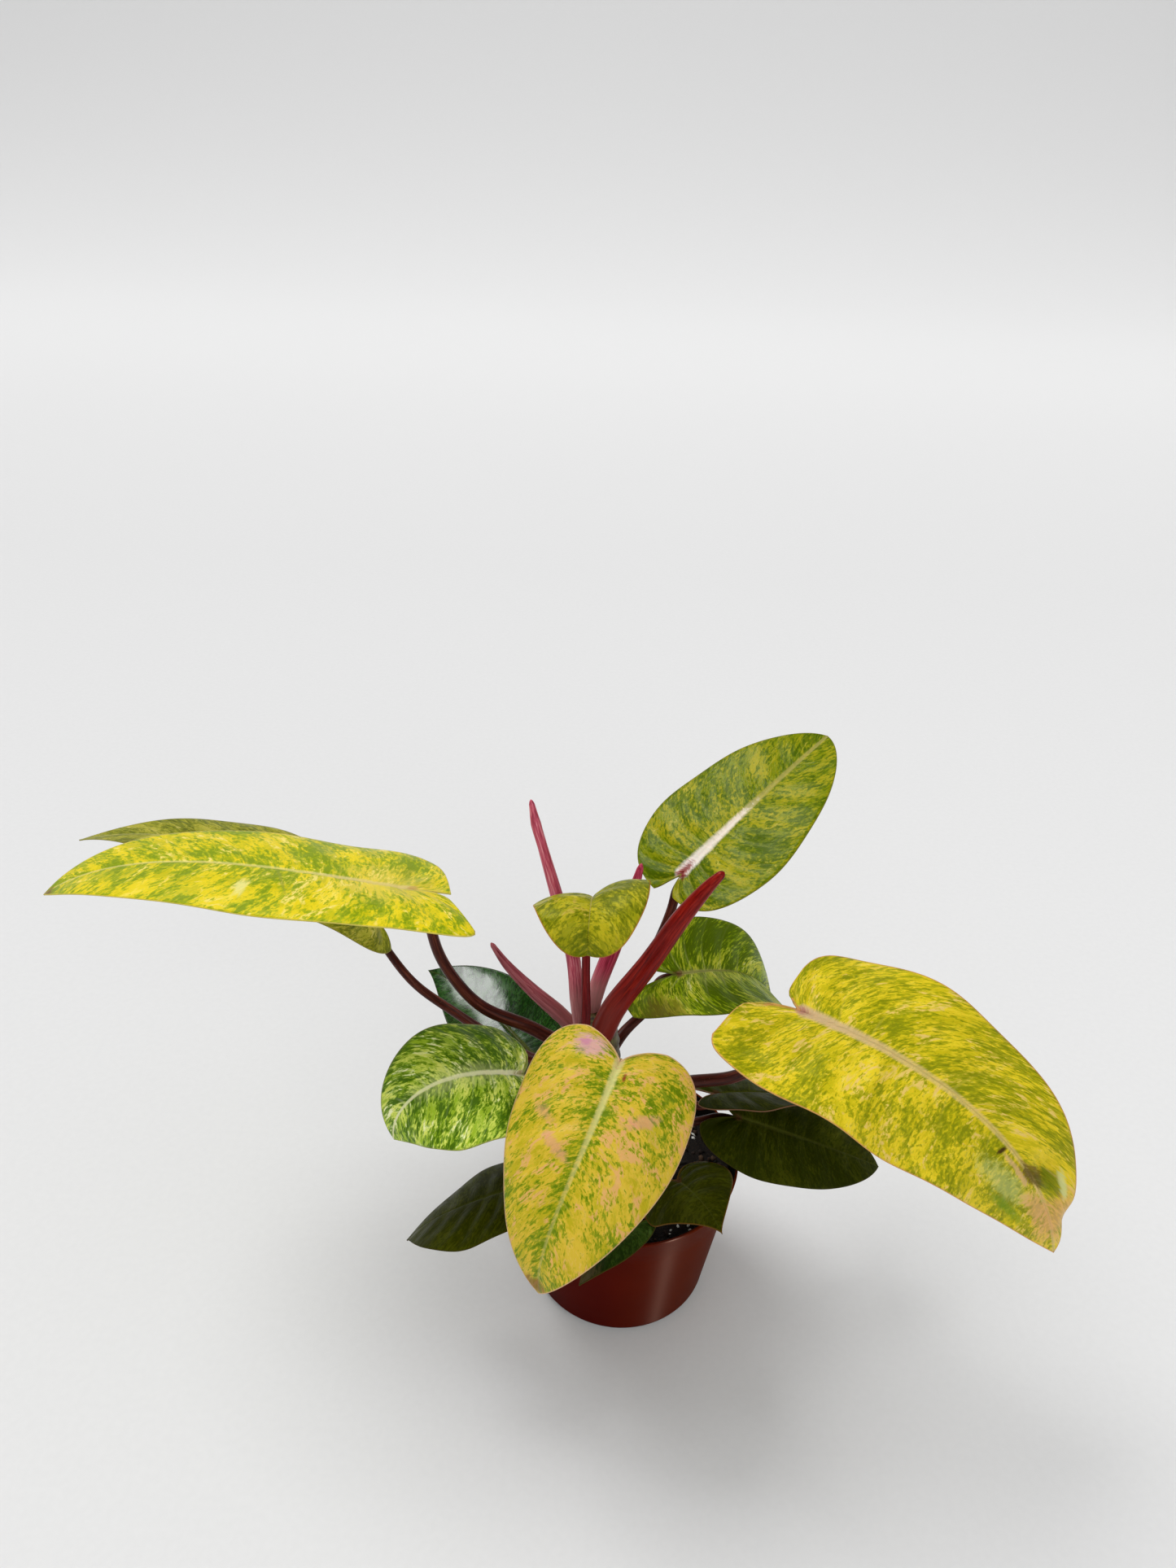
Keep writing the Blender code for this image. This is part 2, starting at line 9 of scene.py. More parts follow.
import bpy
import numpy as np
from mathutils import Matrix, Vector


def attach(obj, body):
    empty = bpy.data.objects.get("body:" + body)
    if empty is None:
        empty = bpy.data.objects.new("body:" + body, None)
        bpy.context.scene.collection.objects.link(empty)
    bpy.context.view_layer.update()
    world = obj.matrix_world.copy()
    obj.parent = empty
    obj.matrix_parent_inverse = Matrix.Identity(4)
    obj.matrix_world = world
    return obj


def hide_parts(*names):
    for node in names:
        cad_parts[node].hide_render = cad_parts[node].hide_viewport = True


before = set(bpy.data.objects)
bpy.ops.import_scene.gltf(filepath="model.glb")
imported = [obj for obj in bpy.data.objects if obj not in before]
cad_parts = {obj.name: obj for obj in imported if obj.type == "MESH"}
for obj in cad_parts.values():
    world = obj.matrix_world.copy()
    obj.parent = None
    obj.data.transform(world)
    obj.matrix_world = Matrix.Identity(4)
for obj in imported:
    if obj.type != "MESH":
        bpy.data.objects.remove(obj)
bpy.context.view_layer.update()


# The pot: one injection moulding of polypropylene, 1 mm thick, terracotta outside and black inside.
# Its side tapers from the rim to a rounded foot, a fine lip stiffens the rim, and six holes drain the base.
MM = 0.001
POT_HEIGHT = 0.090
POT_RIM_RADIUS = 0.0625
POT_BASE_RADIUS = 0.050
POT_WALL = 0.001
POT_FOOT_ROUND = 0.006
POT_FLOOR_MIDDLE = 0.020
POT_EDGE_ROUND = 0.25 * MM
POT_LIP_OUT = 0.0008
POT_LIP_HEIGHT = 0.0022
POT_INSIDE_BEND = (0.0025, 0.020)         # how far in and down from the rim the inside gets a little steeper
POT_SIDES = 192
FOOT_STEPS = 10
DRAIN_HOLES = 6
DRAIN_RADIUS = 0.004
DRAIN_RING = 0.034
DRILL_LENGTH = 0.004


def linear(hex_colour):
    """An sRGB hex colour as linear red, green, blue and alpha."""
    parts = [int(hex_colour[i:i + 2], 16) / 255 for i in (1, 3, 5)]
    return tuple(p / 12.92 if p <= 0.04045 else ((p + 0.055) / 1.055) ** 2.4 for p in parts) + (1.0,)


def set_inputs(made, inputs):
    """Gives a node its inputs, in order or by key. Each is a value or another node's output."""
    for key, value in inputs.items() if isinstance(inputs, dict) else enumerate(inputs):
        if isinstance(value, bpy.types.NodeSocket):
            made.id_data.links.new(value, made.inputs[key])
        else:
            made.inputs[key].default_value = value


def add_node(tree, kind, inputs=(), out=0, stops=(), **settings):
    """Adds a node with its settings, colour stops and inputs, and hands back one of its outputs."""
    made = tree.nodes.new("ShaderNode" + kind)
    for key, value in settings.items():
        setattr(made, key, value)
    for place, (at, colour) in enumerate(stops):
        steps = made.color_ramp.elements
        step = steps[place] if place < len(steps) else steps.new(at)
        step.position, step.color = at, linear(colour)
    set_inputs(made, inputs)
    return made.outputs[out]


def new_material(name, **values):
    """A material with plain values on its Principled shader, the shader, and add_node for its tree."""
    material = bpy.data.materials.new(name)
    material.use_nodes = True
    shader = material.node_tree.nodes["Principled BSDF"]
    set_inputs(shader, {key.replace("_", " "): value for key, value in values.items()})
    return material, shader, partial(add_node, material.node_tree)


def new_body(name, points, faces, material, readings=None):
    """A smooth body in the scene, with the readings that its material asks of each point."""
    mesh = bpy.data.meshes.new(name)
    mesh.from_pydata([tuple(p) for p in points], [], faces)
    for reading, values in (readings or {}).items():
        values = np.asarray(values, dtype=np.float32)
        kind, field = ("FLOAT_VECTOR", "vector") if values.ndim == 2 else ("FLOAT", "value")
        mesh.attributes.new(reading, kind, "POINT").data.foreach_set(field, values.ravel())
    mesh.polygons.foreach_set("use_smooth", [True] * len(mesh.polygons))
    mesh.materials.append(material)
    mesh.update()
    body = bpy.data.objects.new(name, mesh)
    bpy.context.scene.collection.objects.link(body)
    return body


def new_piece(name, points, faces, material, stands_for, readings=None):
    """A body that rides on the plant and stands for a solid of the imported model."""
    piece = new_body(name, points, faces, material, readings)
    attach(piece, "root")
    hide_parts(*stands_for)
    return piece


def wall_radius(height):
    """The pot's outer radius on its straight tapered side."""
    return POT_BASE_RADIUS + (POT_RIM_RADIUS - POT_BASE_RADIUS) * height / POT_HEIGHT


FOOT_CENTRE = (wall_radius(POT_FOOT_ROUND) - POT_FOOT_ROUND, POT_FOOT_ROUND)


def arc(centre, radius, start, end, count):
    """Points on an arc round a centre, from one angle to another in degrees."""
    angles = [radians(start + (end - start) * i / count) for i in range(count + 1)]
    return [(centre[0] + radius * cos(a), centre[1] + radius * sin(a)) for a in angles]


def ring_faces(rings, sides):
    """Faces between rings of points, closed at each end by a point that comes after the last ring."""
    first, last = rings * sides, rings * sides + 1
    top = (rings - 1) * sides
    faces = []
    for k in range(sides):
        after = (k + 1) % sides
        faces.append((first, after, k))
        for low in range(0, top, sides):
            faces.append((low + k, low + after, low + sides + after, low + sides + k))
        faces.append((last, top + k, top + after))
    return faces


def turned(profile, sides):
    """A profile of (radius, height) turned round the Z axis, on which both its ends lie."""
    angles = np.arange(sides) * 2 * pi / sides
    points = [(r * cos(a), r * sin(a), z) for r, z in profile[1:-1] for a in angles]
    points += [(0.0, 0.0, profile[0][1]), (0.0, 0.0, profile[-1][1])]
    return np.array(points), ring_faces(len(profile) - 2, sides)


def pot_profile():
    """Up the inside from the middle of the floor, over the rim and down the outside to the base."""
    inner_top = POT_RIM_RADIUS - POT_WALL
    outer_top = POT_RIM_RADIUS + POT_LIP_OUT
    round_start = POT_HEIGHT - POT_EDGE_ROUND
    lip_foot = POT_HEIGHT - POT_LIP_HEIGHT
    side_heights = (lip_foot - POT_LIP_OUT, 0.07, 0.05, 0.03, 0.012)
    return [
        (0.0, POT_WALL), (POT_FLOOR_MIDDLE, POT_WALL),
        *arc(FOOT_CENTRE, POT_FOOT_ROUND - POT_WALL, -90, 0, FOOT_STEPS),
        (inner_top - POT_INSIDE_BEND[0], POT_HEIGHT - POT_INSIDE_BEND[1]), (inner_top, round_start),
        (inner_top + POT_EDGE_ROUND, POT_HEIGHT), (outer_top - POT_EDGE_ROUND, POT_HEIGHT),
        (outer_top, round_start), (wall_radius(lip_foot) + POT_LIP_OUT, lip_foot),
        *((wall_radius(height), height) for height in side_heights),
        *arc(FOOT_CENTRE, POT_FOOT_ROUND, 0, -90, FOOT_STEPS), (POT_FLOOR_MIDDLE, 0.0), (0.0, 0.0)]


# Moulded polypropylene: satin, with a faint orange peel and a slow unevenness that bend its gloss, which
# the round side draws out into an upright streak. It is black inside. Its warmer red towards the right is
# painted light, for the light that falls on that side.
pot_plastic, shader, add = new_material(
    "moulded_polypropylene", IOR=1.49, Roughness=0.38, Specular_IOR_Level=0.03,
    Specular_Tint=(1.0, 0.62, 0.45, 1.0), Anisotropic=0.93, Anisotropic_Rotation=0.25)
place = add("NewGeometry")
height, rightward = (add("SeparateXYZ", (place,), axis) for axis in "ZX")
flat_place = add("VectorMath", (place, (1.0, 1.0, 0.0)), operation="MULTIPLY")
reach = add("VectorMath", (flat_place,), "Value", operation="LENGTH")
side_reach = add("MapRange", (height, 0.0, POT_HEIGHT, POT_BASE_RADIUS, POT_RIM_RADIUS))
depth_in = add("Math", (side_reach, reach), operation="SUBTRACT")
past_skin = add("MapRange", (depth_in, 0.30 * MM, 0.55 * MM))
above_base = add("MapRange", (height, 0.4 * MM, 0.9 * MM))
inside = add("Math", (past_skin, above_base), operation="MULTIPLY")
clouds = add("TexNoise", {"Vector": place, "Scale": 1 / (30 * MM), "Detail": 2.0})
tint = add("ValToRGB", (clouds,), stops=((0.30, "#460500"), (0.70, "#4d0800")))
# Painted light: the base colour turns warmer red towards the right, the side on which the light falls.
painted_light_right = add("MapRange", (rightward, -0.02, 0.06, 0.0, 0.75), interpolation_type="SMOOTHSTEP")
for share, above in ((painted_light_right, "#602000"), (inside, "#0b0a0a")):
    tint = add("Mix", {0: share, 6: tint, 7: linear(above)}, 2, data_type="RGBA")
peel = add("TexNoise", {"Vector": place, "Scale": 1 / (1.6 * MM), "Detail": 1.0})
slow_bend = add("TexNoise", {"Vector": place, "Scale": 1 / (40 * MM), "Detail": 1.0})
skin = add("Bump", {"Height": peel, "Strength": 0.10, "Distance": 0.05 * MM})
skin = add("Bump", {"Height": slow_bend, "Strength": 0.35, "Distance": 1.0 * MM, "Normal": skin})
round_pot = add("Tangent", direction_type="RADIAL", axis="Z")
set_inputs(shader, {"Base Color": tint, "Normal": skin, "Tangent": round_pot})

pot_points, pot_faces = turned(pot_profile(), POT_SIDES)
pot_shell = new_piece("pot_shell", pot_points, pot_faces, pot_plastic, ["pot"])
for hole in range(DRAIN_HOLES):
    turn = 2 * pi * (hole + 0.5) / DRAIN_HOLES
    spot = (DRAIN_RING * cos(turn), DRAIN_RING * sin(turn), POT_WALL / 2)
    bpy.ops.mesh.primitive_cylinder_add(vertices=32, radius=DRAIN_RADIUS, depth=DRILL_LENGTH, location=spot)
    drill = bpy.context.object
    boolean = pot_shell.modifiers.new("drain", "BOOLEAN")
    boolean.operation, boolean.solver, boolean.object = "DIFFERENCE", "EXACT", drill
    bpy.context.view_layer.update()
    drilled = bpy.data.meshes.new_from_object(pot_shell.evaluated_get(bpy.context.evaluated_depsgraph_get()))
    pot_shell.modifiers.clear()
    pot_shell.data = drilled
    bpy.data.objects.remove(drill)


# The potting mix: moist black peat with bark chips, settled 12 mm below the rim, and grains of white perlite.
# The bed is one lumpy body, and the chips and grains lie half sunk in its top.
SOIL_TOP = 0.078
SOIL_LUMP = 0.0016
SOIL_CRUMB = 0.0004
SOIL_GAP = 0.0003
SOIL_SIDE_GAP = 0.0005
SOIL_EDGE = wall_radius(SOIL_TOP) - POT_WALL - SOIL_SIDE_GAP
SOIL_FLOOR = POT_WALL + SOIL_GAP
SOIL_RINGS = 56
SOIL_SIDES = 168
CHIPS, CHIP_SIZES, CHIP_SINK = 520, (0.0008, 0.0022), 0.35
GRAINS, GRAIN_SIZES, GRAIN_SINK = 90, (0.0006, 0.0012), 0.30
GRAIN_SPANS = ((0.9, 1.7), (0.6, 1.0), (0.5, 0.9))      # each grain's length, width and height for its size
GRAIN_ROUGHNESS = 0.25
draw = np.random.default_rng(41)


def soil_height(x, y):
    """Height of the mix's top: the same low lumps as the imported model's, with crumbs over them."""
    lumps = np.sin(x * 210 + 1.0) * np.cos(y * 170 - 0.6) + 0.6 * np.sin(x * 520 + y * 310)
    crumbs = np.sin(x * 2100 + 3 * np.sin(y * 900)) * np.cos(y * 1900 + 2 * np.sin(x * 1100))
    crumbs = crumbs + 0.6 * np.sin(x * 4100 + y * 2700) * np.cos(y * 4600 - x * 1300)
    level = np.clip((0.95 * SOIL_EDGE - np.hypot(x, y)) / 0.004, 0.0, 1.0)
    return SOIL_TOP + level * SOIL_LUMP * lumps / 1.6 + SOIL_CRUMB * crumbs


def pebble(centre, size):
    """Points and faces of one uneven grain, from an octahedron with its edges halved."""
    corners = [(1, 0, 0), (0, 1, 0), (-1, 0, 0), (0, -1, 0), (0, 0, 1), (0, 0, -1)]
    joined = [(i, (i + 1) % 4) for i in range(4)] + [(i, 4) for i in range(4)] + [(i, 5) for i in range(4)]
    middles = {pair: 6 + k for k, pair in enumerate(joined)}
    shape = np.array(corners + [np.add(corners[a], corners[b]) / 2 ** 0.5 for a, b in joined], dtype=float)
    shape *= (1 + GRAIN_ROUGHNESS * draw.uniform(-1, 1, len(shape)))[:, None] * np.array(size)
    turn, _ = np.linalg.qr(draw.normal(size=(3, 3)))
    faces = []
    for i in range(4):
        j = (i + 1) % 4
        between = middles[(i, j)]
        for pole in (4, 5):
            one, two = middles[(i, pole)], middles[(j, pole)]
            found = [(i, between, one), (between, j, two), (one, two, pole), (between, two, one)]
            faces += found if pole == 4 else [face[::-1] for face in found]
    return shape @ turn.T + centre, faces


def scattered(count, sizes, sink):
    """Grains at random places on the mix, each sunk by a share of its height, with a tone for each."""
    points, faces, tones = [], [], []
    for _ in range(count):
        far, turn = SOIL_EDGE * draw.uniform(0, 0.95) ** 0.5, draw.uniform(0, 2 * pi)
        x, y = far * cos(turn), far * sin(turn)
        size = draw.uniform(*sizes) * np.array([draw.uniform(*span) for span in GRAIN_SPANS])
        grain, sides = pebble((x, y, float(soil_height(x, y)) + size.min() * (1 - 2 * sink)), size)
        faces += [tuple(corner + len(points) for corner in side) for side in sides]
        points += list(grain)
        tones += [draw.uniform()] * len(grain)
    return np.array(points), faces, tones


# Peat is nearly black and dull, with brown fibres about 1 mm wide and a faint damp shine on its crumbs.
peat, shader, add = new_material("moist_peat", IOR=1.4, Specular_IOR_Level=0.35)
place = add("NewGeometry")
fibres = add("TexNoise", {"Vector": place, "Scale": 1 / (1.0 * MM), "Detail": 5.0, "Roughness": 0.7})
set_inputs(shader, {
    "Base Color": add("ValToRGB", (fibres,), stops=((0.40, "#0c0907"), (0.58, "#1c140e"), (0.74, "#3a2a1c"))),
    "Roughness": add("MapRange", (fibres, 0.0, 1.0, 0.75, 1.0)),
    "Normal": add("Bump", {"Height": fibres, "Strength": 0.9, "Distance": 0.5 * MM})})

soil_profile = [(SOIL_EDGE * i / SOIL_RINGS, SOIL_TOP) for i in range(SOIL_RINGS + 1)]
soil_profile += arc(FOOT_CENTRE, POT_FOOT_ROUND - SOIL_FLOOR - 0.0001, 0, -90, 6) + [(0.0, SOIL_FLOOR)]
soil_points, soil_faces = turned(soil_profile, SOIL_SIDES)
x, y, z = soil_points.T
on_top = (z > SOIL_TOP - 0.0005) & (np.hypot(x, y) < SOIL_EDGE * 0.995)
soil_points[on_top, 2] = soil_height(x[on_top], y[on_top])
new_piece("peat_bed", soil_points, [face[::-1] for face in soil_faces], peat, ["soil"])

# Bark chips: composted pine bark, 2 to 5 mm, dark brown to black with paler broken edges.
bark, shader, add = new_material("composted_bark", IOR=1.4, Roughness=0.85)
tone = add("Attribute", (), "Fac", attribute_name="tone")
bark_colour = add("ValToRGB", (tone,), stops=((0.0, "#0e0a08"), (0.7, "#231812"), (1.0, "#4a3524")))
set_inputs(shader, {"Base Color": bark_colour})
points, faces, tones = scattered(CHIPS, CHIP_SIZES, CHIP_SINK)
new_piece("bark_chips", points, faces, bark, ["soil"], {"tone": tones})

# Perlite: expanded volcanic glass, crumbly white grains of 1.5 to 3 mm with a dull pitted skin.
perlite, shader, add = new_material("perlite", IOR=1.5, Roughness=0.9)
pits = add("TexVoronoi", {"Vector": add("NewGeometry"), "Scale": 1 / (0.7 * MM)})
set_inputs(shader, {"Base Color": add("ValToRGB", (pits,), stops=((0.0, "#8c8a84"), (0.5, "#d8d6d0"))),
                    "Normal": add("Bump", {"Height": pits, "Strength": 0.8, "Distance": 0.2 * MM})})
points, faces, _ = scattered(GRAINS, GRAIN_SIZES, GRAIN_SINK)
new_piece("perlite_grains", points, faces, perlite, ["soil"])


# The stem: a short fleshy stem, green going brown, that leans a little to the left. Each fallen leaf has
# left a ring round it, and the living leaves spring from it one above the other.
STEM_ROUTE = ((-0.002, 0.004, 0.058), (-0.006, 0.003, 0.095), (-0.013, 0.000, 0.140), (-0.021, -0.001, 0.188))
STEM_RADII = (0.0075, 0.0080, 0.0092, 0.0118)
STEM_STEPS = 30
STEM_SIDES = 40
STEM_TOP_ROUND, STEM_TOP_SHARE = 0.006, 0.65      # length of the rounded top, and share of the radius there
SCAR_SPACING = 0.011
SCAR_HEIGHT = 0.0007
SCAR_BED = 0.0006            # how far the skin between the scars lies inside the solid's
SCAR_WIDTH = 0.10            # share of the spacing


def smooth_route(points, steps):
    """A rounded line through the points, as a Catmull-Rom curve."""
    route = np.array(points, dtype=float)
    padded = np.vstack([2 * route[0] - route[1], route, 2 * route[-1] - route[-2]])
    line = [route[0]]
    for i in range(1, len(padded) - 2):
        before, start, end, after = padded[i - 1:i + 3]
        for step in range(1, steps + 1):
            t = step / steps
            line.append(0.5 * (2 * start + (end - before) * t
                               + (2 * before - 5 * start + 4 * end - after) * t * t
                               + (3 * start - before - 3 * end + after) * t ** 3))
    return np.array(line)


def run_along(line):
    """The length of a line from its start to each of its points."""
    return np.concatenate([[0.0], np.cumsum(np.linalg.norm(np.diff(line, axis=0), axis=1))])


def swept(line, radii, sides):
    """A closed bar along a line, with the place in the bar of each of its points, in millimetres."""
    radii = np.broadcast_to(np.reshape(radii, (len(line), -1)), (len(line), sides))
    ahead = np.gradient(line, axis=0)
    ahead /= np.linalg.norm(ahead, axis=1)[:, None]
    across = np.cross(ahead[0], (0.31, 0.92, 0.24))
    angles = np.arange(sides) * 2 * pi / sides
    run = run_along(line)
    points, grain = [], []
    for i, centre in enumerate(line):
        across = across - ahead[i] * (across @ ahead[i])
        across = across / np.linalg.norm(across)
        beside = np.cross(ahead[i], across)
        for angle, radius in zip(angles, radii[i]):
            points.append(centre + radius * (cos(angle) * across + sin(angle) * beside))
            grain.append((radius * cos(angle) / MM, radius * sin(angle) / MM, run[i] / MM))
    points += [line[0], line[-1]]
    grain += [(0.0, 0.0, 0.0), (0.0, 0.0, run[-1] / MM)]
    return np.array(points), ring_faces(len(line), sides), np.array(grain)


def rounded_end(to_end, length, share):
    """The share of its radius that a bar keeps near its end, where it rounds off over a length."""
    return np.clip(to_end / length, 0.0, 1.0) ** 0.5 * (1 - share) + share


def streaks_along(add, across, along, detail, roughness, stops):
    """Streaks along a stalk, so many to a millimetre across and along it, with its grain and their colours."""
    grain = add("Attribute", (), "Vector", attribute_name="grain")
    streak_place = add("VectorMath", (grain, (across, across, along)), operation="MULTIPLY")
    streaks = add("TexNoise", {"Vector": streak_place, "Scale": 1.0, "Detail": detail, "Roughness": roughness})
    return streaks, grain, add("ValToRGB", (streaks,), stops=stops)


# Fleshy bark: green skin under a thin brown one that has split lengthwise, with a satin surface.
stem_bark, shader, add = new_material("green_brown_stem_skin", IOR=1.42, Roughness=0.5)
splits, _, stem_colour = streaks_along(
    add, 0.5, 0.12, 4.0, 0.5, ((0.35, "#2c2412"), (0.52, "#57481f"), (0.68, "#6d6a2c")))
set_inputs(shader, {"Base Color": stem_colour,
                    "Normal": add("Bump", {"Height": splits, "Strength": 0.5, "Distance": 0.4 * MM})})

stem_line = smooth_route(STEM_ROUTE, STEM_STEPS)
stem_run = run_along(stem_line)
stem_radius = np.interp(np.linspace(0, 1, len(stem_line)), np.linspace(0, 1, len(STEM_RADII)), STEM_RADII)
scar_place = (stem_run % SCAR_SPACING) / SCAR_SPACING
stem_radius = stem_radius - SCAR_BED + SCAR_HEIGHT * np.exp(-((scar_place - 0.5) / SCAR_WIDTH) ** 2)
stem_radius *= rounded_end(stem_run[-1] - stem_run, STEM_TOP_ROUND, STEM_TOP_SHARE)
points, faces, grain = swept(stem_line, stem_radius, STEM_SIDES)
new_piece("main_stem", points, faces, stem_bark, ["stem"], {"grain": grain})


# The rolled young leaves: each is a new blade still rolled round itself inside its sheath, smooth, waxy and
# full of red pigment. The free edge runs up the roll as a seam that winds a little on the way to the tip.
class Spear(NamedTuple):
    """A rolled leaf or sheath: its route and radii, its seam, and its colours from dark flank to light."""
    name: str
    stands_for: str
    route: tuple
    radii: tuple
    seam: tuple            # angle of the seam at the base, its winding to the tip in turns, its step
    colours: tuple
    base_colour: str


SPEARS = (
    Spear("large_spear", "spear_large",
          ((-0.0175, -0.005, 0.182), (-0.011, -0.007, 0.203), (0.004, -0.008, 0.232), (0.017, -0.008, 0.259),
           (0.028, -0.007, 0.277), (0.036, -0.006, 0.287)),
          (0.0064, 0.0062, 0.0053, 0.0047, 0.0034, 0.0019), (3.9, 0.12, 0.12),
          ("#540404", "#7e0f08", "#9c2618"), "#86342c"),
    Spear("left_spear", "spear_left",
          ((-0.029, 0.001, 0.18), (-0.031, 0.001, 0.2), (-0.034, 0.002, 0.226), (-0.0415, 0.003, 0.256),
           (-0.0505, 0.005, 0.289), (-0.054, 0.0055, 0.302), (-0.0565, 0.006, 0.315)),
          (0.003, 0.0036, 0.0034, 0.0031, 0.0023, 0.0024, 0.0011), (2.6, 0.35, 0.3),
          ("#8c2c40", "#c45468", "#e8a0a8"), "#b07c78"),
    Spear("middle_spear", "spear_middle",
          ((-0.023, 0.006, 0.18), (-0.021, 0.008, 0.2), (-0.014, 0.01, 0.226), (-0.007, 0.012, 0.252),
           (-0.002, 0.014, 0.276)),
          (0.0036, 0.0042, 0.0042, 0.0036, 0.0014), (2.9, 0.2, 0.22),
          ("#7e1c30", "#b03550", "#c85a70"), "#c8a098"),
    Spear("back_sheath", "sheath_back",
          ((-0.024, 0.004, 0.168), (-0.041, 0.012, 0.18), (-0.055, 0.016, 0.191), (-0.068, 0.019, 0.204),
           (-0.077, 0.021, 0.217)),
          (0.0038, 0.0043, 0.0035, 0.0025, 0.0012), (2.2, 0.05, 0.18),
          ("#6c2c32", "#92444c", "#ac686c"), "#8a5450"),
)
SPEAR_SIDES = 48
SPEAR_STEPS = 16
SPEAR_TIP_ROUND, SPEAR_TIP_SHARE = 0.03, 0.3      # share of the length that rounds off, and of the radius left
SEAM_START = 0.93            # share of the turn at which the skin begins to lift to the free edge
SEAM_WIDTH = 0.05
SEAM_STRENGTH = 0.6

for spear in SPEARS:
    # Waxy young skin: fine streaks 0.5 mm wide along the roll over a soft red, paler towards the base.
    dark, middle, light = spear.colours
    spear_skin, shader, add = new_material(
        "waxy_" + spear.name, IOR=1.45, Roughness=0.34, Specular_IOR_Level=0.18, Subsurface_Weight=0.08,
        Subsurface_Scale=0.002)
    streaks, grain, skin_colour = streaks_along(
        add, 1.1, 0.06, 4.0, 0.6, ((0.33, dark), (0.50, middle), (0.70, light)))
    run = add("SeparateXYZ", (grain,), "Z")
    near_base = add("MapRange", (run, 16.0, 40.0, 0.65, 0.0), interpolation_type="SMOOTHSTEP")
    # Lighter along the seam: a painted highlight that runs up the roll with the free edge.
    painted_seam_highlight = add("Attribute", (), "Fac", attribute_name="seam")
    for share, above in ((near_base, spear.base_colour), (painted_seam_highlight, light)):
        skin_colour = add("Mix", {0: share, 6: skin_colour, 7: linear(above)}, 2, data_type="RGBA")
    ridged = add("Bump", {"Height": streaks, "Strength": 0.25, "Distance": 0.2 * MM})
    set_inputs(shader, {"Base Color": skin_colour, "Normal": ridged})

    line = smooth_route(spear.route, SPEAR_STEPS)
    share = np.linspace(0, 1, len(line))
    radius = np.interp(share, np.linspace(0, 1, len(spear.radii)), spear.radii)
    radius *= rounded_end(1 - share, SPEAR_TIP_ROUND, SPEAR_TIP_SHARE)
    start, winding, step = spear.seam
    angles = np.arange(SPEAR_SIDES) * 2 * pi / SPEAR_SIDES
    past_seam = ((angles[None, :] - start - 2 * pi * winding * share[:, None]) / (2 * pi)) % 1.0
    lifted = 1 - step / 2 + step * past_seam
    points, faces, grain = swept(line, radius[:, None] * lifted, SPEAR_SIDES)
    edge = np.clip((past_seam - SEAM_START) / SEAM_WIDTH, 0.0, 1.0).ravel()
    new_piece(spear.name, points, faces, spear_skin, [spear.stands_for],
              {"grain": grain, "seam": np.append(edge, (0.0, 0.0)) * SEAM_STRENGTH})


# The leaves: each is a leathery blade, heart-shaped at its base, on a round petiole. The midrib is a pale
# band on top and a ridge underneath, and pairs of side veins bow out to the margin as shallow grooves.
BLADE_THICKNESS = 0.0008
MARGIN_THICKNESS = 0.0005
RIB_DEPTH = 0.0008
RIB_RIDGE = 0.0012
RIB_VALLEY = 0.06            # half width of the trough over the midrib, as a share of the half blade
RIB_VALLEY_SHAPE = 1.3       # above 1, the trough's sides are hollow
RIB_TAPER = 0.75             # below 1, the midrib narrows most near the petiole
RIB_START_FADE = 0.002       # behind the join the midrib is gone after a few times this length
VEIN_RELIEF = 0.0005
VEIN_GROOVE = 0.00034
VEIN_CROWDING = 1.8          # above 1, the side veins stand closer at the base
VEIN_BOW = 0.11
RIB_HALF_WIDTH, RIB_TIP_HALF_WIDTH = 0.0018, 0.0005
RIB_FULL_LENGTH = 0.11       # on a shorter blade the midrib is narrower
RIB_RIDGE_SHARE = 0.8        # half width of the ridge, in half widths of the midrib
GROOVE_HALF_WIDTH = 0.9      # in millimetres, as the readings are
FANNING_VEINS = 3            # the first veins, which fan out into the lobe
FANNING_BOW = (0.36, 0.75)
DENT_OFF_RIB = 0.2           # no dent reaches nearer to the midrib at its full depth
PUCKER_HEIGHT = 0.0003
PUCKER_LENGTH = 0.0052
PUCKER_WIDTH = 0.0047
PUCKER_DRIFT = 0.009
FULL_RELIEF_WIDTH = 0.060    # on a narrower blade the relief is lower
LARGE_LEAF = 0.080
LARGE_GRID, LARGE_VEINS = (108, 26), 18
SMALL_GRID, SMALL_VEINS = (72, 20), 12
COLUMN_CROWDING = 1.2        # above 1, the grid is finer beside the midrib
SPINE_START, SPINE_POINTS = -0.35, 271
LOBE_DROOP_RUN, LOBE_DROOP_MOST = 0.25, 1.4
SWAY_LATENESS = 1.5
LOBE_SIDE, FLANK, SHOULDER = 0.80, 0.20, 0.33     # handles of the outline's curves
POINT_SPREAD = (0.26, 0.0)   # handle of the outline beyond a lobe's point
BACK_POINTS, FRONT_POINTS, POINTED_POINTS, ROUNDED_POINTS = 60, 120, 24, 30


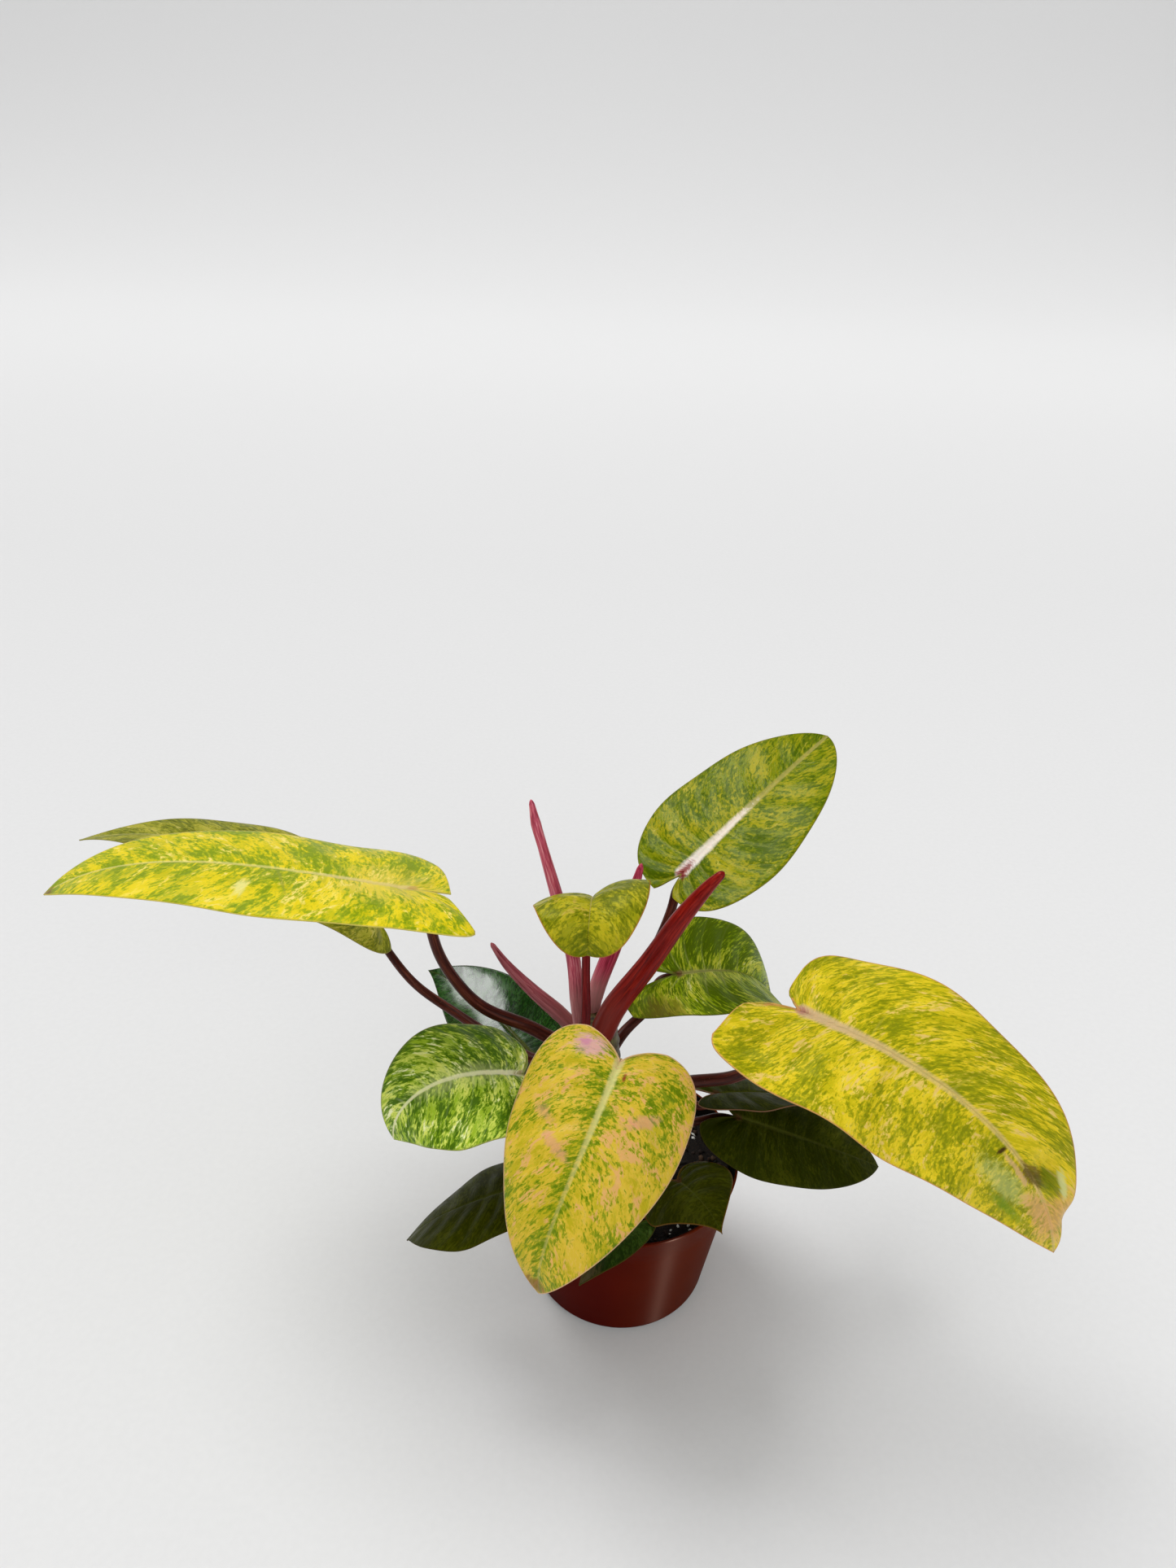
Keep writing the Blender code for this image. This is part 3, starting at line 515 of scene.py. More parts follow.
class Leaf(NamedTuple):
    """One leaf. Angles are in degrees; a share is of the blade's length or of its half width."""
    name: str
    base: tuple            # where the blade joins its petiole
    size: tuple            # blade length, blade width
    aim: tuple             # heading from +X, pitch of the midrib at the base, roll to the right
    bend: tuple            # droop from base to tip, how late it droops, sway to the left, twist to the right
    section: tuple         # fold up from the midrib, curl down towards the margins
    outline: tuple         # lobe length share, how much longer the right lobe is, widest share, tip fullness
    wave: tuple            # margin wave height, number of waves, phase
    stem_height: float     # height at which the petiole leaves the stem
    route: tuple           # points that the petiole passes on its way
    radii: tuple           # petiole radius at the stem and at the blade
    lobes: tuple = (0.45, 0, 12)    # half gap between the lobes' ends, slant of the ends, droop
    dents: tuple = ()      # each: place across, place along, half width, half length, depth
    relief: float = 1.0    # share of the usual pleats and puckers
    tip: float = 0.86      # where along the blade its margins turn in: nearer to 1 gives a rounder tip
    approach: float = 0.008         # how far behind the join the petiole comes up
    rounding: float = 0.0  # share of each lobe's edge that rounds off its inner corner
    point: tuple = ()      # a lobe that ends in a point: its side, where its end edge starts, the point


def spine_frames(leaf, along):
    """Points on the blade's middle line, with its directions along, to the right and up."""
    length = leaf.size[0]
    heading, pitch, roll = leaf.aim
    droop, lateness, sway, twist = leaf.bend
    line = np.linspace(SPINE_START, 1.0, SPINE_POINTS)
    ahead = np.clip(line, 0.0, 1.0)
    behind = np.clip(-line / LOBE_DROOP_RUN, 0.0, LOBE_DROOP_MOST)
    tilt = np.radians(pitch - droop * ahead ** lateness + leaf.lobes[2] * behind)
    turn = np.radians(heading + sway * ahead ** SWAY_LATENESS)
    lean = np.radians(roll + twist * ahead)[:, None]
    forward = np.stack([np.cos(tilt) * np.cos(turn), np.cos(tilt) * np.sin(turn), np.sin(tilt)], 1)
    level_up = np.stack([-np.sin(tilt) * np.cos(turn), -np.sin(tilt) * np.sin(turn), np.cos(tilt)], 1)
    right = np.cross(forward, level_up) * np.cos(lean) - level_up * np.sin(lean)
    up = np.cross(right, forward)
    middle = (forward[1:] + forward[:-1]) / 2 * (line[1] - line[0]) * length
    points = np.vstack([np.zeros(3), np.cumsum(middle, axis=0)])
    origin = np.array([np.interp(0.0, line, points[:, k]) for k in range(3)])
    points = points - origin + np.array(leaf.base)
    share = np.asarray(along) / length
    return [np.stack([np.interp(share, line, track[:, k]) for k in range(3)], -1)
            for track in (points, forward, right, up)]


def bezier(start, first, second, end, count):
    t = np.linspace(0.0, 1.0, count)[:, None]
    corners = [np.array(point, dtype=float) for point in (start, first, second, end)]
    return ((1 - t) ** 3 * corners[0] + 3 * (1 - t) ** 2 * t * corners[1]
            + 3 * (1 - t) * t ** 2 * corners[2] + t ** 3 * corners[3])


def half_margin(leaf, side, rows):
    """The edge of one half, from the lobe's end round to the tip, in shares of half width and length."""
    lobe_share, uneven, widest, fullness = leaf.outline
    gap, slant, _ = leaf.lobes
    lobe = lobe_share * (1 + side * uneven)
    belly, flank = (1.0, widest), (1.0, widest - FLANK)
    start, outer = (gap, -lobe * (1 + side * slant)), (LOBE_SIDE, -lobe * (1 - side * slant))
    if leaf.point and leaf.point[0] == side:
        start, outer = leaf.point[2], np.array(leaf.point[2]) + POINT_SPREAD
    back = bezier(start, outer, flank, belly, BACK_POINTS)
    if leaf.point and leaf.point[0] == side:
        back = np.vstack([np.linspace(*leaf.point[1:], POINTED_POINTS), back[1:]])
    if leaf.rounding:
        corner, cut = back[0], round(BACK_POINTS * leaf.rounding)
        inside = corner * (1 - 2 * leaf.rounding)
        back = np.vstack([bezier(inside, corner, corner, back[cut], ROUNDED_POINTS), back[cut + 1:]])
    front = bezier(belly, (1.0, widest + SHOULDER), (fullness, leaf.tip), (0.0, 1.0), FRONT_POINTS)
    edge = np.vstack([back, front[1:]])
    steps = np.diff(edge, axis=0) * np.array([leaf.size[1] / 2, leaf.size[0]])
    travelled = np.concatenate([[0.0], np.cumsum(np.hypot(steps[:, 0], steps[:, 1]))])
    stops = np.linspace(0.0, travelled[-1], rows + 1)
    return np.stack([np.interp(stops, travelled, edge[:, k]) for k in range(2)], 1), travelled[-1]


def half_blade(leaf, side, rows, shares):
    """Places of one half's grid in space, and its readings for the marbling, the veins and the margin."""
    length, width = leaf.size
    veins = LARGE_VEINS if length > LARGE_LEAF else SMALL_VEINS
    edge, margin_length = half_margin(leaf, side, rows)
    t = np.linspace(0.0, 1.0, rows + 1)
    middle = np.stack([np.zeros(rows + 1), t ** VEIN_CROWDING], 1)
    bow = (middle + edge) / 2 - np.stack([np.zeros(rows + 1), VEIN_BOW * edge[:, 0] * width / length], 1)
    sinus = np.clip(1 - t * veins / FANNING_VEINS, 0.0, 1.0)[:, None]
    bow = bow * (1 - sinus) + sinus * edge[0] * FANNING_BOW
    s = np.array(shares)[None, :, None]
    flat = (1 - s) ** 2 * middle[:, None] + 2 * (1 - s) * s * bow[:, None] + s ** 2 * edge[:, None]
    across, along = flat[..., 0] * width / 2, flat[..., 1] * length
    points, _, right, up = spine_frames(leaf, along)

    # The section: an arc that rises from the midrib, waved at the margin, pleated by the veins and dented.
    fold, curl = radians(leaf.section[0]), radians(leaf.section[1])
    arc_radius = width / 2 / curl
    angle = fold - across / arc_radius
    out = arc_radius * (sin(fold) - np.sin(angle))
    rise = arc_radius * (np.cos(angle) - cos(fold))
    height, waves, phase = leaf.wave
    rise += height * np.sin(2 * pi * waves * along / length + radians(phase) + side) * flat[..., 0] ** 2
    small = min(1.0, width / FULL_RELIEF_WIDTH)
    s = s[..., 0]
    tip_fade = np.clip(2 - 2 * t, 0, 1)[:, None]
    rise += VEIN_RELIEF * leaf.relief * small * np.cos(pi * t * veins)[:, None] * np.sin(pi * s) * tip_fade
    valley = np.clip(1 - s / RIB_VALLEY, 0, 1) ** RIB_VALLEY_SHAPE
    rise -= RIB_DEPTH * small * valley * np.clip(t * veins / 2, 0, 1)[:, None] * (1 - t)[:, None]
    for place_across, place_along, half_width, half_length, depth in leaf.dents:
        off_across = (side * flat[..., 0] - place_across) / half_width
        off_along = (flat[..., 1] - place_along) / half_length
        off_rib = np.clip(flat[..., 0] / DENT_OFF_RIB, 0.0, 1.0)
        rise -= depth * off_rib * np.exp(-off_across ** 2 - off_along ** 2)
    pucker = np.sin(along / PUCKER_LENGTH + 2 * np.sin(across / PUCKER_DRIFT))
    pucker *= np.sin(across / PUCKER_WIDTH + side)
    rise += PUCKER_HEIGHT * leaf.relief * pucker * np.sin(pi * s) * tip_fade

    # The readings, in millimetres: the way along a side vein and along the margin, and how near things are.
    plane = np.stack([across, along], -1)
    vein_way = np.gradient(plane, axis=1)
    vein_way /= np.linalg.norm(vein_way, axis=-1)[..., None] + 1e-9
    row_step = np.gradient(plane, axis=0) * rows / veins
    spacing = np.abs(row_step[..., 0] * vein_way[..., 1] - row_step[..., 1] * vein_way[..., 0])
    from_vein = np.abs((t * veins + 1) % 2 - 1)[:, None]
    steps = np.linalg.norm(np.diff(plane, axis=1), axis=-1)
    run = np.concatenate([np.zeros((rows + 1, 1)), np.cumsum(steps, axis=1)], axis=1)
    border = np.vstack([plane[0, 1:], plane[:, -1]])
    to_edge = np.min(np.linalg.norm(plane[:, :, None] - border[None, None], axis=-1), axis=-1)
    rib_half_width = RIB_HALF_WIDTH * (1 - t ** RIB_TAPER) + RIB_TIP_HALF_WIDTH
    rib_half_width = rib_half_width * min(1.0, length / RIB_FULL_LENGTH)
    on_margin = np.broadcast_to(t[:, None] * margin_length / MM, across.shape)
    level = np.zeros(across.shape)
    return {
        "points": points + right * (side * out)[..., None] + up * rise[..., None],
        "share": np.broadcast_to(s, across.shape),
        "grain": np.stack([side * run / MM, on_margin, level], -1),
        "place": np.stack([side * across / MM, along / MM, level], -1),
        "rib": across / rib_half_width[:, None] + np.clip(-along / RIB_START_FADE, 0.0, 12.0),
        "vein": (1 - from_vein) * spacing / MM,
        "edge": to_edge / MM,
    }


def blade_shell(leaf):
    """Points, faces and readings of a whole blade with its thickness."""
    rows, columns = LARGE_GRID if leaf.size[0] > LARGE_LEAF else SMALL_GRID
    shares = np.linspace(0, 1, columns + 1) ** COLUMN_CROWDING
    left, right = (half_blade(leaf, side, rows, shares) for side in (-1, 1))
    whole = {key: np.concatenate([left[key][:, :0:-1], right[key]], axis=1) for key in right}
    sheet, share = whole.pop("points"), whole.pop("share")
    normal = np.cross(np.gradient(sheet, axis=1), np.gradient(sheet, axis=0))
    normal[-1] = normal[-2]
    normal /= np.linalg.norm(normal, axis=-1)[..., None] + 1e-12
    t = np.linspace(0, 1, rows + 1)[:, None]
    small = min(1.0, leaf.size[1] / FULL_RELIEF_WIDTH)
    half = (BLADE_THICKNESS + (MARGIN_THICKNESS - BLADE_THICKNESS) * share ** 3) / 2
    groove = VEIN_GROOVE * leaf.relief * small * np.exp(-(whole["vein"] / GROOVE_HALF_WIDTH) ** 2)
    groove = groove * (1 - share) ** 0.7 * (1 - t)
    ridge = RIB_RIDGE * small * np.exp(-(whole["rib"] / RIB_RIDGE_SHARE) ** 2) * (1 - t) ** 0.8
    upper = sheet + normal * (half - groove)[..., None]
    lower = sheet - normal * (half + groove + ridge)[..., None]

    # The last row is one point, the tip, so faces there lose a corner, and points without a face are dropped.
    count, wide = share.size, share.shape[1]
    index = np.arange(count).reshape(share.shape)
    index[-1, :] = index[-1, columns]
    faces = [(index[i, j], index[i, j + 1], index[i + 1, j + 1], index[i + 1, j])
             for i in range(rows) for j in range(wide - 1)]
    faces += [tuple(corner + count for corner in face[::-1]) for face in faces]
    rim = [*index[0], *index[1:, -1], *index[rows - 1:0:-1, 0]]
    faces += [(a, a + count, b + count, b) for a, b in zip(rim, rim[1:] + rim[:1])]
    faces = [tuple(int(c) for k, c in enumerate(face) if c != face[k - 1]) for face in faces]
    faces = [face for face in faces if len(face) > 2]
    used = np.unique([corner for face in faces for corner in face])
    new_index = dict(zip(used.tolist(), range(len(used))))
    faces = [tuple(new_index[corner] for corner in face) for face in faces]
    points = np.vstack([upper.reshape(-1, 3), lower.reshape(-1, 3)])[used]
    readings = {"under": np.repeat([0.0, 1.0], count)[used]}
    for key, value in whole.items():
        value = value.reshape(count, *value.shape[2:])
        readings[key] = np.concatenate([value, value])[used]
    return points, faces, readings


class Skin(NamedTuple):
    """The colours and marbling of a blade's upper face."""
    tones: tuple           # five tones of the marbling, from the deepest green to the palest yellow
    blush: str             # peach or cream where all the green is lost
    cover: float           # noise level above which the green flecks lie: lower gives a greener blade
    blush_cover: float     # noise level above which the blush lies
    rib: tuple             # the midrib's colour at the petiole and towards the tip, and how clear it is there
    join: str              # the knot where the petiole comes in
    margin: str
    under: str             # what the lower face is veiled with
    streak: tuple = (5.0, 1.7)      # length and width of the flecks, in millimetres
    slants: tuple = (0, 0)          # how far the flecks lean towards the tip on the left and the right half
    softness: float = 0.035         # half width of the flecks' edges, in noise level
    patchy: float = 0.4    # how far the marbling keeps to some regions
    rib_green: float = 0.0          # how far the green gathers beside the midrib
    rib_width: float = 1.0
    roughness: float = 0.38
    gloss: float = 0.22    # specular level
    glint: tuple = (1.0, 1.0, 0.35, 1.0)      # tint of the sheen
    relief: float = 1.0    # strength of the fine bumps in the skin
    marks: tuple = ()      # each: right, ahead, half width and half length in mm, turn, colour, strength


LEAF_APART = 17.3            # how far apart two leaves' marblings are taken from the noise
RAGGEDNESS = 2.4             # how far the flecks fray the edges of the marks
MARK_EDGE = (1.6, 2.5)       # between these two distances from its middle a mark fades out


def blade_skin(name, skin, seed):
    """A leathery blade: flecks of green and yellow along the side veins, under a satin waxy skin."""
    material, shader, add = new_material(
        name, IOR=1.45, Specular_IOR_Level=skin.gloss, Specular_Tint=skin.glint, Subsurface_Weight=0.08,
        Subsurface_Scale=0.0015)
    grain, place = (add("Attribute", (), "Vector", attribute_name=key) for key in ("grain", "place"))
    rib, vein, edge, under = (add("Attribute", (), "Fac", attribute_name=key)
                              for key in ("rib", "vein", "edge", "under"))

    # The grain, in millimetres, runs out along the side veins, and leans towards the tip where the flecks do.
    run, step = (add("SeparateXYZ", (grain,), axis) for axis in "XY")
    for way, slant in zip((-1, 1), skin.slants):
        outwards = add("Math", (run, way), operation="MULTIPLY")
        outwards = add("Math", (outwards, 0.0), operation="MAXIMUM")
        step = add("Math", (outwards, -slant, step), operation="MULTIPLY_ADD")
    grain = add("CombineXYZ", (run, step, LEAF_APART * seed))
    long, wide = skin.streak
    patterns = {}
    for key, (length, width, detail, distortion) in {
            "flecks": (long, wide, 4.0, 0.8), "dabs": (long / 2.4, wide / 1.3, 2.0, 0.6),
            "clouds": (long * 2.0, wide * 3.4, 3.0, 0.8), "blushes": (long * 2.4, wide * 4.0, 3.0, 0.9),
            "regions": (26.0, 20.0, 1.0, 0.0)}.items():
        stretch = (1 / length, 1 / width, 1.0 + len(patterns))
        stretched = add("VectorMath", (grain, stretch), operation="MULTIPLY")
        patterns[key] = add("TexNoise", {"Vector": stretched, "Scale": 1.0, "Detail": detail,
                                         "Roughness": 0.6, "Distortion": distortion})
    patterns["beside rib"] = add("MapRange", (rib, 2.0, 9.0, 1.0, 0.0), interpolation_type="SMOOTHSTEP")
    levels = {"ground": 0.0, "green": 0.0}
    for level, key, weight in (("ground", "clouds", 0.5), ("ground", "flecks", 0.3), ("ground", "dabs", 0.2),
                               ("green", "flecks", 0.55), ("green", "dabs", 0.45),
                               ("green", "regions", skin.patchy), ("green", "beside rib", skin.rib_green)):
        levels[level] = add("Math", (patterns[key], weight, levels[level]), operation="MULTIPLY_ADD")

    # Each layer: the level that places it, where it comes in, its strength before and after, what thins it
    # and its colour. First blush, a lime halo, green and its deep core, then veins, midrib, marks and margin.
    ahead = add("SeparateXYZ", (place,), "Y")
    up_leaf = add("MapRange", (ahead, 5.0, 60.0))
    rib_colour = add("Mix", {0: up_leaf, 6: linear(skin.rib[0]), 7: linear(skin.rib[1])}, 2, data_type="RGBA")
    rib_clear = (0.88, 0.88 * skin.rib[2])
    rib_clear = add("MapRange", (ahead, 10.0, 85.0, *rib_clear), interpolation_type="SMOOTHSTEP")
    near_rib = add("MapRange", (rib, 3.0, 14.0, 1.0, 0.2), interpolation_type="SMOOTHSTEP")
    soft_rib = add("Math", (patterns["dabs"], 0.8, rib), operation="MULTIPLY_ADD")
    deep, green, lime, yellow, pale = skin.tones
    flecks, start, soft = levels["green"], skin.cover + skin.patchy * 0.5, skin.softness
    layers = [
        (patterns["blushes"], skin.blush_cover, skin.blush_cover + 0.09, 0.0, 0.85, 1.0, linear(skin.blush)),
        (flecks, start - soft * 2.6, start, 0.0, 0.75, 1.0, linear(lime)),
        (flecks, start - soft, start + soft, 0.0, 0.9, 1.0, linear(green)),
        (flecks, start + soft, start + soft * 3.4, 0.0, 0.9, 1.0, linear(deep)),
        (vein, 0.15, 0.9, 0.16, 0.0, near_rib, linear(pale)),
        (soft_rib, 0.55 * skin.rib_width + 0.3, 1.15 * skin.rib_width + 0.7, 1.0, 0.0, rib_clear, rib_colour)]
    knot = (0.0, 0.5, 2.2, 3.4, 0, skin.join, 0.85)
    for right, forward, half_width, half_length, turn, tint, strength in (knot, *skin.marks):
        off = add("VectorMath", (place, (right, forward, 0.0)), operation="SUBTRACT")
        off = add("VectorRotate", {"Vector": off, "Angle": radians(turn)}, rotation_type="Z_AXIS")
        off = add("VectorMath", (off, (1 / half_width, 1 / half_length, 0.0)), operation="MULTIPLY")
        off = add("VectorMath", (off,), "Value", operation="LENGTH")
        ragged = add("Math", (patterns["flecks"], RAGGEDNESS, off), operation="MULTIPLY_ADD")
        layers.append((ragged, *MARK_EDGE, strength, 0.0, 1.0, linear(tint)))
    layers.append((edge, 0.15, 0.75, 0.8, 0.0, 1.0, linear(skin.margin)))
    ground = ((0.42, lime), (0.48, yellow), (0.53, yellow), (0.59, pale))
    colour = add("ValToRGB", (levels["ground"],), stops=ground)
    for level, begin, end, before, after, share, above in layers:
        on = add("MapRange", (level, begin, end, before, after), interpolation_type="SMOOTHSTEP")
        on = add("Math", (on, share), operation="MULTIPLY")
        colour = add("Mix", {0: on, 6: colour, 7: above}, 2, data_type="RGBA")
    veil = add("Math", (under, 0.6), operation="MULTIPLY")
    colour = add("Mix", {0: veil, 6: colour, 7: linear(skin.under)}, 2, data_type="RGBA")

    # The skin is satin, duller in clouds and underneath. Its fine veins lie 0.9 mm apart, which is coarser
    # than the real ones, so that they show.
    dull = add("MapRange", (patterns["clouds"], 0.35, 0.65, skin.roughness - 0.07, skin.roughness + 0.09))
    dull = add("Math", (under, 0.2, dull), operation="MULTIPLY_ADD")
    fine_place = add("VectorMath", (grain, (0.10, 1.1, 1.0)), operation="MULTIPLY")
    fine_veins = add("TexNoise", {"Vector": fine_place, "Scale": 1.0, "Detail": 3.0})
    bumped = add("Bump", {"Height": fine_veins, "Strength": 0.5 * skin.relief, "Distance": 0.30 * MM})
    bumped = add("Bump", {"Height": patterns["clouds"], "Strength": 0.6 * skin.relief, "Distance": 1.0 * MM,
                          "Normal": bumped})
    set_inputs(shader, {"Base Color": colour, "Roughness": dull, "Normal": bumped})
    return material


# The petioles: round fleshy stalks that clasp the stem with a swollen base and run into the midrib. Those of
# grown leaves are dark red-brown, and that of the youngest is still crimson.
PETIOLE_SIDES = 24
PETIOLE_STEPS = 120
PETIOLE_RISE = 0.004         # how far the petiole still climbs at the blade
PETIOLE_GAP = 0.0003
PETIOLE_END_RADIUS = 0.0004
WAIST = 0.92                 # the middle of a petiole, as a share of the mean of its ends
CLASP_SWELL, CLASP_LENGTH = 0.35, 0.012
NECK_SWELL, NECK_SWELL_PLACE, NECK_SWELL_LENGTH = 0.12, 0.010, 0.006
UNDER_RIB = (0.0, 0.010, 0.024)      # places along the midrib that the petiole runs under
UNDER_RIB_DEPTHS = (0.0022, 0.0012)  # how deep it lies at the last two of them
UNDER_RIB_LENGTH = 0.12      # under a shorter blade these places lie closer together
BLADE_END_RISE = 0.9         # share of its usual depth under the blade at which the petiole comes up to it
TO_BLADE_STEPS, UNDER_RIB_STEPS = 12, 8
EASING_PASSES = 30


def stalk_skin(name, dark, middle, light):
    """Petiole skin: smooth and satin, with paler streaks and pinhead flecks along it."""
    material, shader, add = new_material(name, IOR=1.45, Roughness=0.34, Specular_IOR_Level=0.15)
    streaks, grain, colour = streaks_along(
        add, 0.8, 0.05, 5.0, 0.65, ((0.34, dark), (0.52, middle), (0.70, light)))
    fleck_place = add("VectorMath", (grain, (1.0, 1.0, 0.4)), operation="MULTIPLY")
    flecks = add("TexVoronoi", {"Vector": fleck_place, "Scale": 0.9})
    fleck = add("MapRange", (flecks, 0.06, 0.14, 0.5, 0.0))
    colour = add("Mix", {0: fleck, 6: colour, 7: linear("#8a6450")}, 2, data_type="RGBA")
    ribbed = add("Bump", {"Height": streaks, "Strength": 0.3, "Distance": 0.25 * MM})
    set_inputs(shader, {"Base Color": colour, "Normal": ribbed})
    return material


def stem_axis(height):
    """The point on the stem's middle line at a height."""
    line = smooth_route(STEM_ROUTE, 8)
    return tuple(float(np.interp(height, line[:, 2], line[:, k])) for k in range(3))


def eased(line):
    """The line with its bends softened, as a living stalk bends. Its ends stay where they are."""
    run = run_along(line)
    even = np.linspace(0.0, run[-1], PETIOLE_STEPS + 1)
    line = np.stack([np.interp(even, run, line[:, k]) for k in range(3)], 1)
    for _ in range(EASING_PASSES):
        line[1:-1] = (line[:-2] + 2 * line[1:-1] + line[2:]) / 4
    return line


def make_petiole(leaf, stalk):
    """From inside the stem to the underside of the midrib, where it runs on and thins out to nothing."""
    ahead = np.array(UNDER_RIB) * min(1.0, leaf.size[0] / UNDER_RIB_LENGTH)
    points, forward, _, up = spine_frames(leaf, ahead)
    below = leaf.radii[1] + BLADE_THICKNESS / 2 + RIB_DEPTH + PETIOLE_GAP
    finish = points[0] + forward[0] * PETIOLE_RISE - up[0] * below * BLADE_END_RISE
    approach = points[0] - forward[0] * leaf.approach - up[0] * (below + PETIOLE_RISE)
    to_blade = smooth_route((stem_axis(leaf.stem_height), *leaf.route, approach, finish), TO_BLADE_STEPS)
    second, third = (points[k] - up[k] * UNDER_RIB_DEPTHS[k - 1] for k in (1, 2))
    under_rib = smooth_route((finish, second, third), UNDER_RIB_STEPS)
    line = np.vstack([to_blade, under_rib[1:]])
    run = run_along(line)
    blade_share = run[len(to_blade) - 1] / run[-1]
    line = eased(line)
    run = run_along(line)
    at_blade = blade_share * run[-1]
    root, neck = leaf.radii
    waist = (root + neck) / 2 * WAIST
    radius = np.interp(run, (0.0, at_blade * 0.5, at_blade, run[-1]), (root, waist, neck, PETIOLE_END_RADIUS))
    from_swell = run - at_blade + NECK_SWELL_PLACE
    radius *= (1 + CLASP_SWELL * np.exp(-(run / CLASP_LENGTH) ** 2)
               + NECK_SWELL * np.exp(-(from_swell / NECK_SWELL_LENGTH) ** 2))
    body, faces, grain = swept(line, radius, PETIOLE_SIDES)
    new_piece(leaf.name + "_petiole", body, faces, stalk, ["petiole_" + leaf.name],
              {"grain": grain})


old_petiole_skin = stalk_skin("red_brown_petiole_skin", "#2a0c08", "#481c14", "#6c3828")
young_petiole_skin = stalk_skin("crimson_petiole_skin", "#48080c", "#701418", "#8c2c2c")


def make_leaf(leaf, skin, seed, stalk=old_petiole_skin):
    points, faces, readings = blade_shell(leaf)
    material = blade_skin("leathery_" + leaf.name, skin, seed)
    new_piece(leaf.name + "_blade", points, faces, material, ["blade_" + leaf.name], readings)
    make_petiole(leaf, stalk)


# The sunlit leaves, long left, long right and front: golden yellow with lime and green streaks along the side
# veins, peach patches where the green is lost, a cream midrib and an orange-pink margin.
LONG_LEFT = Leaf(
    "long_left", base=(-0.111, -0.009, 0.271), size=(0.204, 0.075), aim=(170, 1, 11),
    bend=(40, 2.7, 5, -23), section=(6, 23), outline=(0.12, -0.5, 0.18, 0.53), wave=(0.0006, 2.5, 20),
    stem_height=0.166,
    route=((-0.038, -0.01, 0.178), (-0.055, -0.009, 0.188), (-0.08, -0.008, 0.199), (-0.098, -0.008, 0.226),
           (-0.104, -0.008, 0.25)), radii=(0.0042, 0.0024), lobes=(0.1, 0.44, 30),
    dents=((0.9, 0.09, 0.45, 0.12, -0.003),), point=(-1, (0.03, -0.088), (0.56, -0.178)))
LONG_RIGHT = Leaf(
    "long_right", base=(0.068, -0.067, 0.257), size=(0.175, 0.085), aim=(-22, -7, 14),
    bend=(71, 1.3, 10, 44), section=(7, 23), outline=(0.125, 0.69, 0.2, 0.51), wave=(0.0037, 2.6, 235),
    stem_height=0.141,
    route=((0.004, -0.019, 0.153), (0.024, -0.04, 0.184), (0.046, -0.055, 0.204), (0.058, -0.064, 0.228)),
    radii=(0.0042, 0.0026), lobes=(0.15, -0.29, -4), rounding=0.2,
    dents=((0.54, -0.16, 0.34, 0.25, 0.015), (-0.5, 0.94, 0.38, 0.05, 0.009),
           (-0.2, 0.765, 0.16, 0.055, 0.006), (0.12, 0.74, 0.1, 0.1, -0.0022),
           (0.32, 0.222, 0.28, 0.016, -0.0012), (0.34, 0.262, 0.28, 0.02, 0.001),
           (0.16, 0.03, 0.16, 0.014, -0.0014), (-0.35, 0.08, 0.3, 0.03, 0.0012)))
FRONT = Leaf(
    "front", base=(-0.01, -0.068, 0.223), size=(0.119, 0.087), aim=(-113, -29, -6),
    bend=(68, 1.6, -31, -10), section=(12, 55), outline=(0.09, 0, 0.2, 0.18), wave=(0.0015, 2.5, 0),
    stem_height=0.133, route=((-0.012, -0.022, 0.147), (-0.014, -0.04, 0.175), (-0.012, -0.056, 0.203)),
    radii=(0.004, 0.0024), tip=0.95, approach=0)

make_leaf(LONG_LEFT, Skin(
    tones=("#7f9506", "#9fac0a", "#c8be08", "#e7d116", "#f5de4f"), blush="#f5e27e", cover=0.505,
    blush_cover=0.55, rib=("#ccb89c", "#e0d480", 0.75), join="#a87060", margin="#d8c860", under="#9c9c50",
    patchy=0.45, streak=(6.6, 3.4), softness=0.03,
    marks=((-18.2, 79.3, 6, 4, 0, "#ece48c", 0.85), (-10, 62.6, 13, 0.9, -33, "#8c9430", 0.6),
           (0, 12, 16, 26, 0, "#e4cc54", 0.5), (-3, 199, 4, 6, 0, "#6a4820", 0.9))), 1)
make_leaf(LONG_RIGHT, Skin(
    tones=("#808509", "#9d9b0d", "#c3b415", "#e2c928", "#ecd35f"), blush="#e4c370", cover=0.505,
    blush_cover=0.535, rib=("#ceae88", "#d8bd7c", 0.7), join="#b07868", margin="#d89860", under="#98944c",
    streak=(5.6, 2.3), slants=(0.7, -0.4), softness=0.035, patchy=0.45, rib_width=1.7, gloss=0.16,
    marks=((12, 118, 6, 20, -8, "#b8c47c", 0.45), (17, 130, 2.4, 15, -12, "#6c8c10", 0.7),
           (-4.8, 156, 16, 12, 0, "#d8a066", 0.65), (4.5, 142, 5, 13, -13, "#d8a468", 0.7),
           # Painted shade: the dark olive-brown mark at 128 mm fills the hollow of the folded tip. Painted
           # highlight: the narrow pale mark at 143 mm lies on the ridge beside it.
           (-1.5, 128, 4.2, 11, -22, "#54400a", 0.85), (-8, 139, 5, 8, -22, "#56700e", 0.75),
           (-12.6, 143, 1.6, 7, 20, "#d0d490", 0.8), (4.3, 119, 1.5, 12, 0, "#d8b07c", 0.75),
           (4.2, 106.3, 3.6, 1.2, 26, "#3c1c10", 0.9))), 2)
